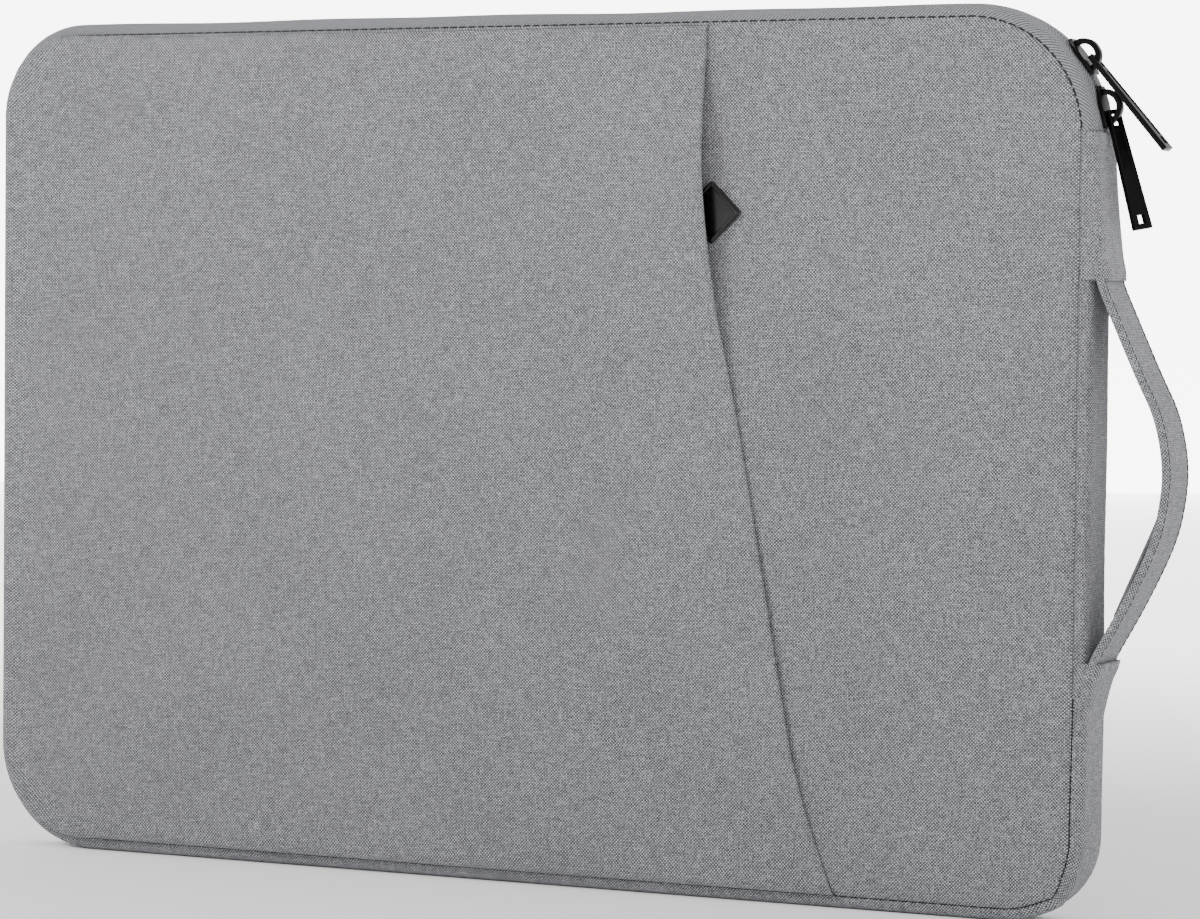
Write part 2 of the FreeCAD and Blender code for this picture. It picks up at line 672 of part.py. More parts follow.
def build():
    os.makedirs("parts", exist_ok=True)
    save(panel(-1), "front_panel")
    save(panel(1), "back_panel")
    save(pocket_panel(), "pocket_panel")
    save(pocket_lining(), "pocket_lining")
    save(pocket_hem_tape(), "pocket_hem_tape")
    save(pocket_tag(), "pocket_tag")
    save(gusset_ring(gusset_profile()), "gusset_band")
    save(gusset_foam(), "gusset_foam")
    save(gusset_lining(), "gusset_lining")
    for side, sign in (("front", -1), ("back", 1)):
        foam = plate(SEAM_TURN + PLY_GAP, sign * FOAM_INNER, sign * FOAM_OUTER)
        save(foam, side + "_foam")
        lining = plate(LINING + PLY_GAP, sign * LINING_INNER, sign * LINING_OUTER)
        save(lining, side + "_lining")
        save(seam_binding(sign), side + "_seam_binding")
        save(zip_ring(tape_profile(sign)), side + "_zip_tape")
        save(zip_coil(sign), side + "_zip_coil")
    save(zip_end_stops(), "zip_end_stops")
    for name, angle in (("lower", LOWER_SLIDER_ANGLE), ("upper", UPPER_SLIDER_ANGLE)):
        save(on_corner(slider_plates(), angle), name + "_slider_plates")
        save(on_corner(slider_crown(), angle), name + "_slider_crown")
    save(placed_pull(LOWER_SLIDER_ANGLE, LOWER_PULL_LIFT, LOWER_PULL_TWIST), "lower_pull_tab")
    save(placed_pull(UPPER_SLIDER_ANGLE, UPPER_PULL_LIFT, 0), "upper_pull_tab")
    save(handle_wrap(), "handle_wrap")
    save(handle_core(), "handle_core")
    save(tail(True), "handle_upper_tail")
    save(tail(False), "handle_lower_tail")
    save(cover(True), "upper_handle_cover")
    save(cover(False), "lower_handle_cover")


build()
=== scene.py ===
"""Looks of a padded laptop sleeve: heather cloth, twill zip tape, gloss black zip metal.

Everything is in metres in the part's own frame: X across the width with the handle on +X,
Y through the depth with the pocket on -Y, Z up, origin under the middle of the bottom gusset.
"""
import json
import logging
import math
from dataclasses import dataclass
from enum import Enum
from typing import Callable

import bmesh
import bpy
import numpy as np
from mathutils import Matrix, Vector


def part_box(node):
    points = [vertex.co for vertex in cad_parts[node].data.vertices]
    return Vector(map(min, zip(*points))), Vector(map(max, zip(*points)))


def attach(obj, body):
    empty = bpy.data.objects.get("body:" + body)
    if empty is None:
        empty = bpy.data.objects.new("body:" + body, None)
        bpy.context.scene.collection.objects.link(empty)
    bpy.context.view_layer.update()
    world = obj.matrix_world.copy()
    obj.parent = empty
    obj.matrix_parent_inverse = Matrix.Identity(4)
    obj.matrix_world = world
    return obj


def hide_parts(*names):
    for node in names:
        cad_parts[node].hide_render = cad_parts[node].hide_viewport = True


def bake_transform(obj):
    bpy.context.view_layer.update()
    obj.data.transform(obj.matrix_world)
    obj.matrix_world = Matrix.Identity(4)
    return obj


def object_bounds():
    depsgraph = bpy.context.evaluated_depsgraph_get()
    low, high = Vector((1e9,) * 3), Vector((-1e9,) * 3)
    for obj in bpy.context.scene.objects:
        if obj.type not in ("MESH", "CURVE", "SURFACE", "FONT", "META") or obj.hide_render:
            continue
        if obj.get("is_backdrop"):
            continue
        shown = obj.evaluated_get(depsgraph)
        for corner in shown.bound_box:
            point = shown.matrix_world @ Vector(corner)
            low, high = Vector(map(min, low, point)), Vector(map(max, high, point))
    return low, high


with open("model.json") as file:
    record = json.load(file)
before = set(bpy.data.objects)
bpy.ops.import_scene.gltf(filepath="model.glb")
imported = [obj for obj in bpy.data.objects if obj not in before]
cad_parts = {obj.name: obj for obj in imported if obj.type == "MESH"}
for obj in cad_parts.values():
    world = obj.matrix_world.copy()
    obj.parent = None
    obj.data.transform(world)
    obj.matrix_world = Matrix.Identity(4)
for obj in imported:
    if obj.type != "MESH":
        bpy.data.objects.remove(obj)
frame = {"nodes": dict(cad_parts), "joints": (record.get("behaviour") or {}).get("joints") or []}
CAD_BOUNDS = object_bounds()

LOG = logging.getLogger("sleeve")
MM = 0.001
UV_NAME = "Weave"

Array = np.ndarray

# A stitch is a capsule of six rings of six points: the rings' sizes and the points' angles
RING_SIZE = np.array([0.25, 0.75, 1.0, 1.0, 0.75, 0.25])
RING_TURN = np.linspace(0, 2 * math.pi, 6, endpoint=False)


# ---- helpers for meshes --------------------------------------------------------------------

def smoothstep(low: float, high: float, value: Array) -> Array:
    """Ease from 0 at low to 1 at high.

    Args:
        low: Where the ease starts.
        high: Where it ends.
        value: Values to ease.

    Returns:
        3t^2 - 2t^3 of the clipped share t of the way from low to high.
    """
    share = np.clip((value - low) / (high - low), 0.0, 1.0)
    return share * share * (3.0 - 2.0 * share)


def bump(low: float, peak: float, high: float, value: Array) -> Array:
    """Rise from 0 at low to 1 at peak and fall to 0 at high, eased both ways."""
    return smoothstep(low, peak, value) * (1.0 - smoothstep(peak, high, value))


def new_mesh(name: str, vertices: Array, faces: Array, uv: Array | None = None) -> bpy.types.Object:
    """Put vertices and faces into a new object at the origin.

    Args:
        name: The object's name.
        vertices: (n, 3) positions in metres.
        faces: (m, 4) vertex numbers; a triangle repeats none of its first three and ends in -1.
        uv: (m, 4, 2) corner coordinates in metres of cloth, or None.

    Returns:
        The new object, smooth shaded.
    """
    mesh = bpy.data.meshes.new(name)
    sizes = np.where(faces[:, 3] < 0, 3, 4)
    corners = faces[faces >= 0].astype(np.int32)
    mesh.vertices.add(len(vertices))
    mesh.vertices.foreach_set("co", vertices.astype(np.float32).ravel())
    mesh.loops.add(len(corners))
    mesh.loops.foreach_set("vertex_index", corners)
    mesh.polygons.add(len(faces))
    starts = np.concatenate(([0], np.cumsum(sizes)[:-1])).astype(np.int32)
    mesh.polygons.foreach_set("loop_start", starts)
    mesh.update(calc_edges=True)
    if uv is not None:
        layer = mesh.uv_layers.new(name=UV_NAME)
        layer.data.foreach_set("uv", uv[faces >= 0].astype(np.float32).ravel())
    mesh.shade_smooth()
    obj = bpy.data.objects.new(name, mesh)
    bpy.context.scene.collection.objects.link(obj)
    return obj


def grid_faces(index: Array) -> Array:
    """Quads over a grid of vertex numbers, (rows - 1) * (columns - 1) of them."""
    corners = (index[:-1, :-1], index[1:, :-1], index[1:, 1:], index[:-1, 1:])
    return np.stack(corners, axis=-1).reshape(-1, 4)


def grid_corners(values: Array) -> Array:
    """Corner values of each quad of a grid, in the same order as grid_faces."""
    corners = (values[:-1, :-1], values[1:, :-1], values[1:, 1:], values[:-1, 1:])
    return np.stack(corners, axis=-2).reshape(-1, 4, values.shape[-1])


def shell(name: str, outer: Array, inner: Array, uv: Array, ring: bool = False) -> bpy.types.Object:
    """A closed ply between two grids of points.

    The outer grid keeps its faces, the inner one is turned over, and a strip of quads closes
    each edge of the grid between the two.  Normals are then made to point out.

    Args:
        name: The object's name.
        outer: (rows, columns, 3) outer surface.
        inner: (rows, columns, 3) inner surface.
        uv: (rows, columns, 2), with one row more when ring is True.
        ring: Whether the last row joins the first one.

    Returns:
        The new object.
    """
    rows, columns = outer.shape[:2]
    front = np.arange(rows * columns).reshape(rows, columns)
    if ring:
        front = np.vstack((front, front[:1]))
    back = front + rows * columns
    sides = [
        (np.stack((back[:, 0], front[:, 0]), 1), np.stack((uv[:, 0], uv[:, 0]), 1)),
        (np.stack((front[:, -1], back[:, -1]), 1), np.stack((uv[:, -1], uv[:, -1]), 1)),
    ]
    if not ring:
        sides.append((np.stack((front[0], back[0]), 1), np.stack((uv[0], uv[0]), 1)))
        sides.append((np.stack((back[-1], front[-1]), 1), np.stack((uv[-1], uv[-1]), 1)))
    faces = [grid_faces(front), grid_faces(back)[:, ::-1]]
    maps = [grid_corners(uv), grid_corners(uv)[:, ::-1]]
    for index, values in sides:
        faces.append(grid_faces(index))
        maps.append(grid_corners(values))
    vertices = np.concatenate((outer.reshape(-1, 3), inner.reshape(-1, 3)))
    obj = new_mesh(name, vertices, np.concatenate(faces), np.concatenate(maps))
    face_out(obj)
    return obj


def tube(name: str, points: Array, uv: Array) -> bpy.types.Object:
    """A closed body from sections: each row of points is one closed section.

    Args:
        name: The object's name.
        points: (rows, columns, 3), each row a loop whose last point joins its first.
        uv: (rows, columns + 1, 2).

    Returns:
        The new object, with a fan of triangles over each end.
    """
    rows, columns = points.shape[:2]
    index = np.arange(rows * columns).reshape(rows, columns)
    wrapped = np.hstack((index, index[:, :1]))
    faces = [grid_faces(wrapped)]
    maps = [grid_corners(uv)]
    centres = np.stack((points[0].mean(0), points[-1].mean(0)))
    for end, row in enumerate((wrapped[0], wrapped[-1])):
        hub = np.full(columns, rows * columns + end)
        fan = np.stack((row[:-1], row[1:], hub, np.full(columns, -1)), 1)
        edge = uv[0 if end == 0 else -1]
        middle = np.broadcast_to(edge.mean(0), edge[:-1].shape)
        faces.append(fan)
        maps.append(np.stack((edge[:-1], edge[1:], middle, middle), 1))
    vertices = np.concatenate((points.reshape(-1, 3), centres))
    obj = new_mesh(name, vertices, np.concatenate(faces), np.concatenate(maps))
    face_out(obj)
    return obj


def capsules(name: str, vertices: Array) -> bpy.types.Object:
    """Many capsules as one object: each is six rings of six points with a cap at each end.

    Args:
        name: The object's name.
        vertices: (36 n, 3) positions, ring after ring.

    Returns:
        The new object.
    """
    index = np.arange(36).reshape(6, 6)
    wrapped = np.hstack((index, index[:, :1]))
    caps = np.array([[0, 1, 2, 3], [0, 3, 4, 5], [33, 32, 31, 30], [35, 34, 33, 30]])
    single = np.concatenate((grid_faces(wrapped), caps))
    first = 36 * np.arange(len(vertices) // 36)
    faces = (single[None] + first[:, None, None]).reshape(-1, 4)
    obj = new_mesh(name, vertices, faces)
    face_out(obj)
    return obj


def face_out(obj: bpy.types.Object) -> None:
    """Recalculate a closed mesh's normals so that they point outward."""
    work = bmesh.new()
    work.from_mesh(obj.data)
    bmesh.ops.recalc_face_normals(work, faces=work.faces)
    work.to_mesh(obj.data)
    work.free()


def arc_rows(radius: float, steps: int) -> Array:
    """Offsets from a straight edge of the points of a quarter circle, from 0 to radius."""
    return radius * (1.0 - np.cos(np.linspace(0.0, math.pi / 2, steps + 1)))


# ---- materials ------------------------------------------------------------------------------

class NodeSheet:
    """A small writer for the nodes of one material."""

    def __init__(self, name: str) -> None:
        """Start a material with a Principled shader, ready to be wired."""
        self.material = bpy.data.materials.new(name)
        self.material.use_nodes = True
        self.tree = self.material.node_tree
        self.shader = self.tree.nodes["Principled BSDF"]

    def node(self, kind: str, **settings: object) -> bpy.types.Node:
        """Add a node and set its own properties."""
        made = self.tree.nodes.new(kind)
        for key, value in settings.items():
            setattr(made, key, value)
        return made

    def wire(self, source: object, target: bpy.types.NodeSocket) -> None:
        """Join a socket, or set a number or colour, on a target socket."""
        if isinstance(source, bpy.types.NodeSocket):
            self.tree.links.new(source, target)
        else:
            target.default_value = source

    def math(self, operation: str, *values: object) -> bpy.types.NodeSocket:
        """One Math node on up to three values."""
        made = self.node("ShaderNodeMath", operation=operation)
        for slot, value in zip(made.inputs, values):
            self.wire(value, slot)
        return made.outputs[0]

    def cloth_place(self) -> tuple[bpy.types.NodeSocket, ...]:
        """The cloth's own coordinates: the vector, then across and along as numbers."""
        place = self.node("ShaderNodeUVMap", uv_map=UV_NAME).outputs["UV"]
        parts = self.node("ShaderNodeSeparateXYZ")
        self.wire(place, parts.inputs[0])
        return place, parts.outputs[0], parts.outputs[1]

    def mix(self, share: object, low: object, high: object,
            blend: str = "MIX") -> bpy.types.NodeSocket:
        """Blend two colours by a share."""
        made = self.node("ShaderNodeMix", data_type="RGBA", blend_type=blend)
        self.wire(share, made.inputs["Factor"])
        self.wire(low, made.inputs[6])
        self.wire(high, made.inputs[7])
        return made.outputs[2]

    def noise(self, vector: object, scale: float, detail: float = 2.0,
              roughness: float = 0.5) -> bpy.types.NodeSocket:
        """A noise value from 0 to 1."""
        made = self.node("ShaderNodeTexNoise")
        self.wire(vector, made.inputs["Vector"])
        made.inputs["Scale"].default_value = scale
        made.inputs["Detail"].default_value = detail
        made.inputs["Roughness"].default_value = roughness
        return made.outputs["Fac"]

    def vector(self, x: object, y: object, z: object = 0.0) -> bpy.types.NodeSocket:
        """A vector from three numbers."""
        made = self.node("ShaderNodeCombineXYZ")
        for slot, value in zip(made.inputs, (x, y, z)):
            self.wire(value, slot)
        return made.outputs[0]

    def ramp(self, value: object, low: float, high: float) -> bpy.types.NodeSocket:
        """Map low..high to 0..1, smoothly and clipped."""
        made = self.node("ShaderNodeMapRange", interpolation_type="SMOOTHSTEP")
        self.wire(value, made.inputs["Value"])
        made.inputs["From Min"].default_value = low
        made.inputs["From Max"].default_value = high
        return made.outputs["Result"]

    def bump(self, height: object, strength: float, distance: float) -> None:
        """Drive the shader's normal from a height."""
        made = self.node("ShaderNodeBump")
        made.inputs["Strength"].default_value = strength
        made.inputs["Distance"].default_value = distance
        self.wire(height, made.inputs["Height"])
        self.wire(made.outputs["Normal"], self.shader.inputs["Normal"])

    def set(self, **values: object) -> None:
        """Set shader sockets by name, with _ for a space."""
        for key, value in values.items():
            self.wire(value, self.shader.inputs[key.replace("_", " ")])


def grey(value: float, cool: float = 0.055) -> tuple[float, float, float, float]:
    """A slightly cool grey of a linear brightness."""
    return (value, value * (1 + cool * 0.35), value * (1 + cool * 1.6), 1.0)


@dataclass(frozen=True)
class WovenFinish:
    """Plain weave of light and dark yarns, the colour changing along every yarn.

    The two families of yarn follow the cloth's own coordinates.  Each yarn is a ridge, and the
    product of the two sine waves says which family lies on top in each cell.

    Attributes:
        name: Material name.
        pitch: Distance between yarns, metres.
        dark: Brightness of the dark fibres; a third of it is the painted shade between yarns.
        light: Brightness of the light fibres.
        slub: Length over which a yarn keeps its colour, in yarn pitches.
        relief: Height of the yarns, metres.
        sheen: Strength of the fibre sheen.
        contrast: How much lighter the upright yarns are than the level ones, 0 to 1.
    """

    name: str
    pitch: float
    dark: float
    light: float
    slub: float = 5.0
    relief: float = 0.0003
    sheen: float = 0.08
    contrast: float = 0.5

    def build(self) -> bpy.types.Material:
        """Make the material."""
        sheet = NodeSheet(self.name)
        place, wide, tall = sheet.cloth_place()
        # Yarns wander a little, so the rows are never ruler straight
        drift = sheet.math("MULTIPLY", sheet.noise(place, 60.0, 2.0), 1.1)
        across = sheet.math("ADD", sheet.math("DIVIDE", wide, self.pitch), drift)
        along = sheet.math("ADD", sheet.math("DIVIDE", tall, self.pitch), drift)
        wave_a = sheet.math("SINE", sheet.math("MULTIPLY", across, math.pi))
        wave_b = sheet.math("SINE", sheet.math("MULTIPLY", along, math.pi))
        over = sheet.ramp(sheet.math("MULTIPLY", wave_a, wave_b), -0.2, 0.2)
        ridge_a = sheet.math("ABSOLUTE", wave_a)
        ridge_b = sheet.math("ABSOLUTE", wave_b)
        height = sheet.math("MULTIPLY", sheet.math("POWER", ridge_a, 0.6),
                            sheet.math("POWER", ridge_b, 0.6))
        # Colour of each yarn: noise that is short across the yarns and long along them
        run_a = sheet.vector(sheet.math("FLOOR", across), sheet.math("DIVIDE", along, self.slub))
        run_b = sheet.vector(sheet.math("DIVIDE", across, self.slub),
                             sheet.math("FLOOR", along), 9.0)
        tone_a = sheet.ramp(sheet.noise(run_a, 1.7, 3.0, 0.75), 0.30, 0.62)
        tone_b = sheet.ramp(sheet.noise(run_b, 1.7, 3.0, 0.75), 0.42, 0.74)
        upright = sheet.math("MULTIPLY_ADD", tone_a, 1.0 - self.contrast, self.contrast)
        level = sheet.math("MULTIPLY", tone_b, 1.0 - self.contrast)
        blend = sheet.node("ShaderNodeMix", data_type="FLOAT")
        sheet.wire(over, blend.inputs[0])
        sheet.wire(level, blend.inputs[2])
        sheet.wire(upright, blend.inputs[3])
        fleck = sheet.noise(place, 1500.0, 3.0, 0.8)
        tone = sheet.math("ADD", sheet.math("MULTIPLY", blend.outputs[0], 0.8),
                          sheet.math("MULTIPLY", sheet.ramp(fleck, 0.35, 0.65), 0.2))
        yarn = sheet.mix(tone, grey(self.dark), grey(self.light))
        # Painted shade: where the yarns are low, in the hollows between them, the colour darkens
        # towards a third of the dark yarns
        painted_gap_shade = sheet.ramp(height, 0.0, 0.7)
        colour = sheet.mix(painted_gap_shade, grey(self.dark * 0.3), yarn)
        # Bunches of darker and lighter yarns, long one way and narrow the other
        bunches = []
        for narrow, long, layer in ((0.9, 0.09, 4.0), (0.09, 0.9, 7.0)):
            lane = sheet.vector(sheet.math("MULTIPLY", across, narrow),
                                sheet.math("MULTIPLY", along, long), layer)
            bunches.append(sheet.noise(lane, 1.0, 2.0, 0.6))
        bunch = sheet.math("ADD", *bunches)
        cloud = sheet.math("MULTIPLY_ADD", sheet.noise(place, 22.0, 3.0), 0.25, bunch)
        streak = sheet.ramp(cloud, 0.86, 1.42)
        soft = sheet.mix(streak, grey(0.62, 0.0), grey(1.0, 0.0))
        toned = sheet.mix(1.0, colour, soft, "MULTIPLY")
        sheet.set(Base_Color=toned, Roughness=0.92, Specular_IOR_Level=0.2,
                  Sheen_Weight=self.sheen, Sheen_Roughness=0.5)
        sheet.bump(height, 0.6, self.relief)
        return sheet.material


@dataclass(frozen=True)
class TwillFinish:
    """Narrow woven tape whose diagonal ribs run the other way on each side of its middle.

    Attributes:
        name: Material name.
        pitch: Distance between ribs, metres.
        dark: Brightness between ribs, painted shade in the grooves.
        light: Brightness on a rib, painted light on the crests.
        herringbone: Width of one stripe of ribs before they change direction, metres.
        thread: Distance between the threads that cross the ribs, metres.
    """

    name: str
    pitch: float
    dark: float
    light: float
    herringbone: float = 0.006
    thread: float = 0.0005

    def build(self) -> bpy.types.Material:
        """Make the material."""
        sheet = NodeSheet(self.name)
        place, wide, tall = sheet.cloth_place()
        folded = sheet.math("PINGPONG", tall, self.herringbone)
        slant = sheet.math("ADD", wide, folded)
        wave = sheet.math("SINE", sheet.math("MULTIPLY", slant, 2 * math.pi / self.pitch))
        rib = sheet.ramp(wave, -0.9, 0.8)
        cross = sheet.math("SINE", sheet.math("MULTIPLY", tall, 2 * math.pi / self.thread))
        fibre = sheet.ramp(sheet.noise(place, 1400.0, 3.0, 0.7), 0.25, 0.75)
        # Painted light and shade of the ribs: the colour is lighter on each rib's crest and darker
        # between ribs, mixed with random fibre tone
        tone = sheet.math("ADD", sheet.math("MULTIPLY", rib, 0.6),
                          sheet.math("MULTIPLY", fibre, 0.4))
        height = sheet.math("ADD", rib, sheet.math("MULTIPLY", cross, 0.15))
        sheet.set(Base_Color=sheet.mix(tone, grey(self.dark), grey(self.light)), Roughness=0.85,
                  Specular_IOR_Level=0.25, Sheen_Weight=0.1)
        sheet.bump(height, 0.5, 0.0002)
        return sheet.material


@dataclass(frozen=True)
class HardFinish:
    """Gloss enamel, moulded rubber or nylon.

    Attributes:
        name: Material name.
        colour: Brightness.
        roughness: Mean roughness.
        coat: Strength of the clear coat.
        grain: Scale of the fine surface texture, per metre.
        grain_depth: Height of that texture, metres.
        wear: How much lighter the scuffs are.
        shine: Level of the surface reflection.
    """

    name: str
    colour: float
    roughness: float
    coat: float
    grain: float
    grain_depth: float
    wear: float
    shine: float = 0.2

    def build(self) -> bpy.types.Material:
        """Make the material."""
        sheet = NodeSheet(self.name)
        place = sheet.node("ShaderNodeTexCoord").outputs["Object"]
        fine = sheet.noise(place, self.grain, 3.0)
        scuff = sheet.ramp(sheet.noise(place, self.grain * 0.12, 4.0, 0.7), 0.55, 0.8)
        tone = sheet.mix(scuff, grey(self.colour, 0.1), grey(self.colour + self.wear, 0.1))
        rough = sheet.math("MULTIPLY_ADD", scuff, 0.12, self.roughness)
        sheet.set(Base_Color=tone, Roughness=rough, Specular_IOR_Level=self.shine,
                  Coat_Weight=self.coat, Coat_Roughness=0.12)
        sheet.bump(fine, 0.3, self.grain_depth)
        return sheet.material


@dataclass(frozen=True)
class FibreFinish:
    """Soft unwoven stuff: short pile, open foam or web, on object coordinates.

    Attributes:
        name: Material name.
        dark: Brightness in the hollows, painted shade.
        light: Brightness on the raised fibres, painted light.
        scale: Size of the texture, per metre.
        depth: Height of the texture, metres.
        sheen: Strength of the fibre sheen.
    """

    name: str
    dark: float
    light: float
    scale: float
    depth: float
    sheen: float = 0.3

    def build(self) -> bpy.types.Material:
        """Make the material."""
        sheet = NodeSheet(self.name)
        place = sheet.node("ShaderNodeTexCoord").outputs["Object"]
        # Painted light and shade: the same noise drives the colour and the bump, so the colour is
        # darker in the hollows and lighter on the raised fibres
        fibre = sheet.ramp(sheet.noise(place, self.scale, 5.0, 0.75), 0.3, 0.7)
        sheet.set(Base_Color=sheet.mix(fibre, grey(self.dark), grey(self.light)), Roughness=0.95,
                  Specular_IOR_Level=0.2, Sheen_Weight=self.sheen)
        sheet.bump(fibre, 0.6, self.depth)
        return sheet.material


class Finish(Enum):
    """Every finish on the sleeve."""

    CLOTH = WovenFinish("heather_cloth", 0.55 * MM, 0.018, 0.61)
    TAPE = TwillFinish("zip_tape_twill", 1.2 * MM, 0.02, 0.27)
    BINDING = FibreFinish("binding_tape", 0.01, 0.03, 900.0, 0.0002)
    LINING = FibreFinish("lining_fleece", 0.02, 0.06, 700.0, 0.0004)
    FOAM = FibreFinish("foam", 0.35, 0.6, 500.0, 0.0004)
    WEB = FibreFinish("webbing", 0.06, 0.14, 800.0, 0.0003)
    COIL = HardFinish("nylon_coil", 0.02, 0.4, 0.0, 3000.0, 0.00005, 0.02)
    METAL = HardFinish("black_zip_metal", 0.002, 0.27, 0.0, 2500.0, 0.00001, 0.002, 0.08)
    RUBBER = HardFinish("tag_rubber", 0.002, 0.22, 0.1, 4000.0, 0.00002, 0.003, 0.35)
    THREAD = FibreFinish("seam_thread", 0.008, 0.03, 2500.0, 0.0001, 0.0)


class Wardrobe:
    """Makes each finish once and puts it on pieces."""

    def __init__(self) -> None:
        """Build all materials."""
        self.made = {finish: finish.value.build() for finish in Finish}

    def dress(self, obj: bpy.types.Object, finish: Finish, slot: str) -> None:
        """Give an object one finish."""
        obj.data.materials.clear()
        obj.data.materials.append(self.made[finish])

    def dress_node(self, obj: bpy.types.Object, finish: Finish) -> None:
        """Give a carried-over node a finish, keeping its slots."""
        for slot in obj.material_slots:
            slot.material = self.made[finish]
        if not obj.material_slots:
            obj.data.materials.append(self.made[finish])


def cad_node(name: str) -> bpy.types.Object:
    """The carried-over object of one node of the construction."""
    source = frame["nodes"][name]
    return source if isinstance(source, bpy.types.Object) else bpy.data.objects[name]


def finish(obj: bpy.types.Object, wardrobe: Wardrobe, choice: Finish, slot: str,
           node: str | None, body: str = "case") -> None:
    """Dress a piece, put it on its body and hide the node it stands for."""
    wardrobe.dress(obj, choice, slot)
    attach(obj, body)
    if node is not None:
        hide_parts(node)
    report(obj)


def report(obj: bpy.types.Object) -> None:
    """Log a finished piece and its size."""
    LOG.info("%s: %d faces", obj.name, len(obj.data.polygons))


# ---- the body's outline ----------------------------------------------------------------------

@dataclass(frozen=True)
class Outline:
    """The seam line seen from the front: a rounded rectangle, each corner with its own radius.

    Attributes:
        half: Half its width.
        low: Its lowest height.
        high: Its highest height.
        radius: Radius of the corner that the sliders sit on.
        heel: Radius of the corner below the handle.
        far_top: Radius of the upper corner away from the handle.
        far_foot: Radius of the lower corner away from the handle.
        top_left: Height on the left side where the zip starts.
        top_right: Height on the right side where the zip ends.
    """

    half: float
    low: float
    high: float
    radius: float
    heel: float
    far_top: float
    far_foot: float
    top_left: float
    top_right: float

    def left(self, z: Array) -> Array:
        """X of the left edge at a height: the corner circles, and straight between them."""
        return -self.side(z, self.far_foot, self.far_top)

    def right(self, z: Array) -> Array:
        """X of the right edge at a height."""
        return self.side(z, self.heel, self.radius)

    def side(self, z: Array, low_radius: float, high_radius: float) -> Array:
        """Distance from the middle to an edge whose corners have the two radii."""
        below = np.clip(self.low + low_radius - z, 0.0, low_radius)
        above = np.clip(z - (self.high - high_radius), 0.0, high_radius)
        foot = self.half - low_radius + np.sqrt(low_radius ** 2 - below ** 2)
        head = self.half - high_radius + np.sqrt(high_radius ** 2 - above ** 2)
        return np.where(z < (self.low + self.high) / 2, foot, head)

    def inside(self, x: Array, z: Array) -> Array:
        """Distance inward from the seam line: the rounded box's distance, sign turned."""
        middle = (self.low + self.high) / 2
        near = np.where(z < middle, self.heel, self.radius)
        far = np.where(z < middle, self.far_foot, self.far_top)
        radius = np.where(x > 0, near, far)
        over_x = np.abs(x) - self.half + radius
        over_z = np.abs(z - middle) - (self.high - self.low) / 2 + radius
        corner = np.hypot(np.maximum(over_x, 0), np.maximum(over_z, 0))
        return radius - corner - np.minimum(np.maximum(over_x, over_z), 0)

    def path(self, start: float, end: float, step: float) -> tuple[Array, Array, Array]:
        """Points along the seam line, anticlockwise seen from the front.

        The line starts at the middle of the right side.  Straight stretches and corner arcs
        follow each other, and each point's outward normal is the arc's radius direction.

        Args:
            start: Distance along the line where the points start.
            end: Distance where they end.
            step: Largest distance between points.

        Returns:
            Distances, (n, 2) points in X and Z, and (n, 2) outward normals.
        """
        count = max(int(math.ceil((end - start) / step)), 1) + 1
        distance = np.linspace(start, end, count)
        points = np.zeros((count, 2))
        normals = np.zeros((count, 2))
        place = np.mod(distance, self.length())
        begin = 0.0
        for size, origin, theta, radius in self.stretches():
            here = (place >= begin - 1e-9) & (place < begin + size)
            travelled = place[here] - begin
            if radius == 0.0:
                out = np.array([math.cos(theta), math.sin(theta)])
                way = np.array([-out[1], out[0]])
                points[here] = np.array(origin) + travelled[:, None] * way
                normals[here] = out
            else:
                angle = theta + travelled / radius
                out = np.stack((np.cos(angle), np.sin(angle)), 1)
                points[here] = np.array(origin) + radius * out
                normals[here] = out
            begin += size
        return distance, points, normals

    def stretches(self) -> list[tuple[float, tuple[float, float], float, float]]:
        """Length, origin, outward angle and radius of each stretch of the seam line."""
        middle = (self.low + self.high) / 2
        quarter = math.pi / 2
        top = self.high - self.radius
        heel = self.low + self.heel
        far_top = self.high - self.far_top
        far_foot = self.low + self.far_foot
        inner = self.half - self.radius
        heel_x = self.half - self.heel
        far_top_x = self.half - self.far_top
        far_foot_x = self.half - self.far_foot
        return [
            (top - middle, (self.half, middle), 0.0, 0.0),
            (quarter * self.radius, (inner, top), 0.0, self.radius),
            (inner + far_top_x, (inner, self.high), quarter, 0.0),
            (quarter * self.far_top, (-far_top_x, far_top), quarter, self.far_top),
            (far_top - far_foot, (-self.half, far_top), 2 * quarter, 0.0),
            (quarter * self.far_foot, (-far_foot_x, far_foot), 2 * quarter, self.far_foot),
            (far_foot_x + heel_x, (-far_foot_x, self.low), 3 * quarter, 0.0),
            (quarter * self.heel, (heel_x, heel), 3 * quarter, self.heel),
            (middle - heel, (self.half, heel), 4 * quarter, 0.0),
        ]

    def length(self) -> float:
        """Length all the way round."""
        return sum(size for size, _, _, _ in self.stretches())

    def zip_start(self) -> float:
        """Distance along the line of the zip's end on the handle side."""
        return self.top_right - (self.low + self.high) / 2

    def zip_end(self) -> float:
        """Distance along the line of the zip's end on the far side."""
        sizes = [size for size, _, _, _ in self.stretches()]
        return sum(sizes[:4]) + (self.high - self.far_top) - self.top_left


# ---- padded faces, pocket and tag --------------------------------------------------------------

# Profiles of the rubber tag from its back to its face: share of its reach, share of its thickness
TAG_BODY = [(0.97, 0.0), (1.0, 0.08), (1.0, 0.55), (0.985, 0.68), (0.95, 0.74), (0.80, 0.75),
            (0.40, 0.76), (0.02, 0.76)]
TAG_RIM = [(0.95, 0.70), (0.95, 1.05), (0.93, 1.22), (0.86, 1.22), (0.83, 1.05), (0.83, 0.70)]
TAG_RIM_SUNK = 0.66         # how deep the rim's foot sits in the body

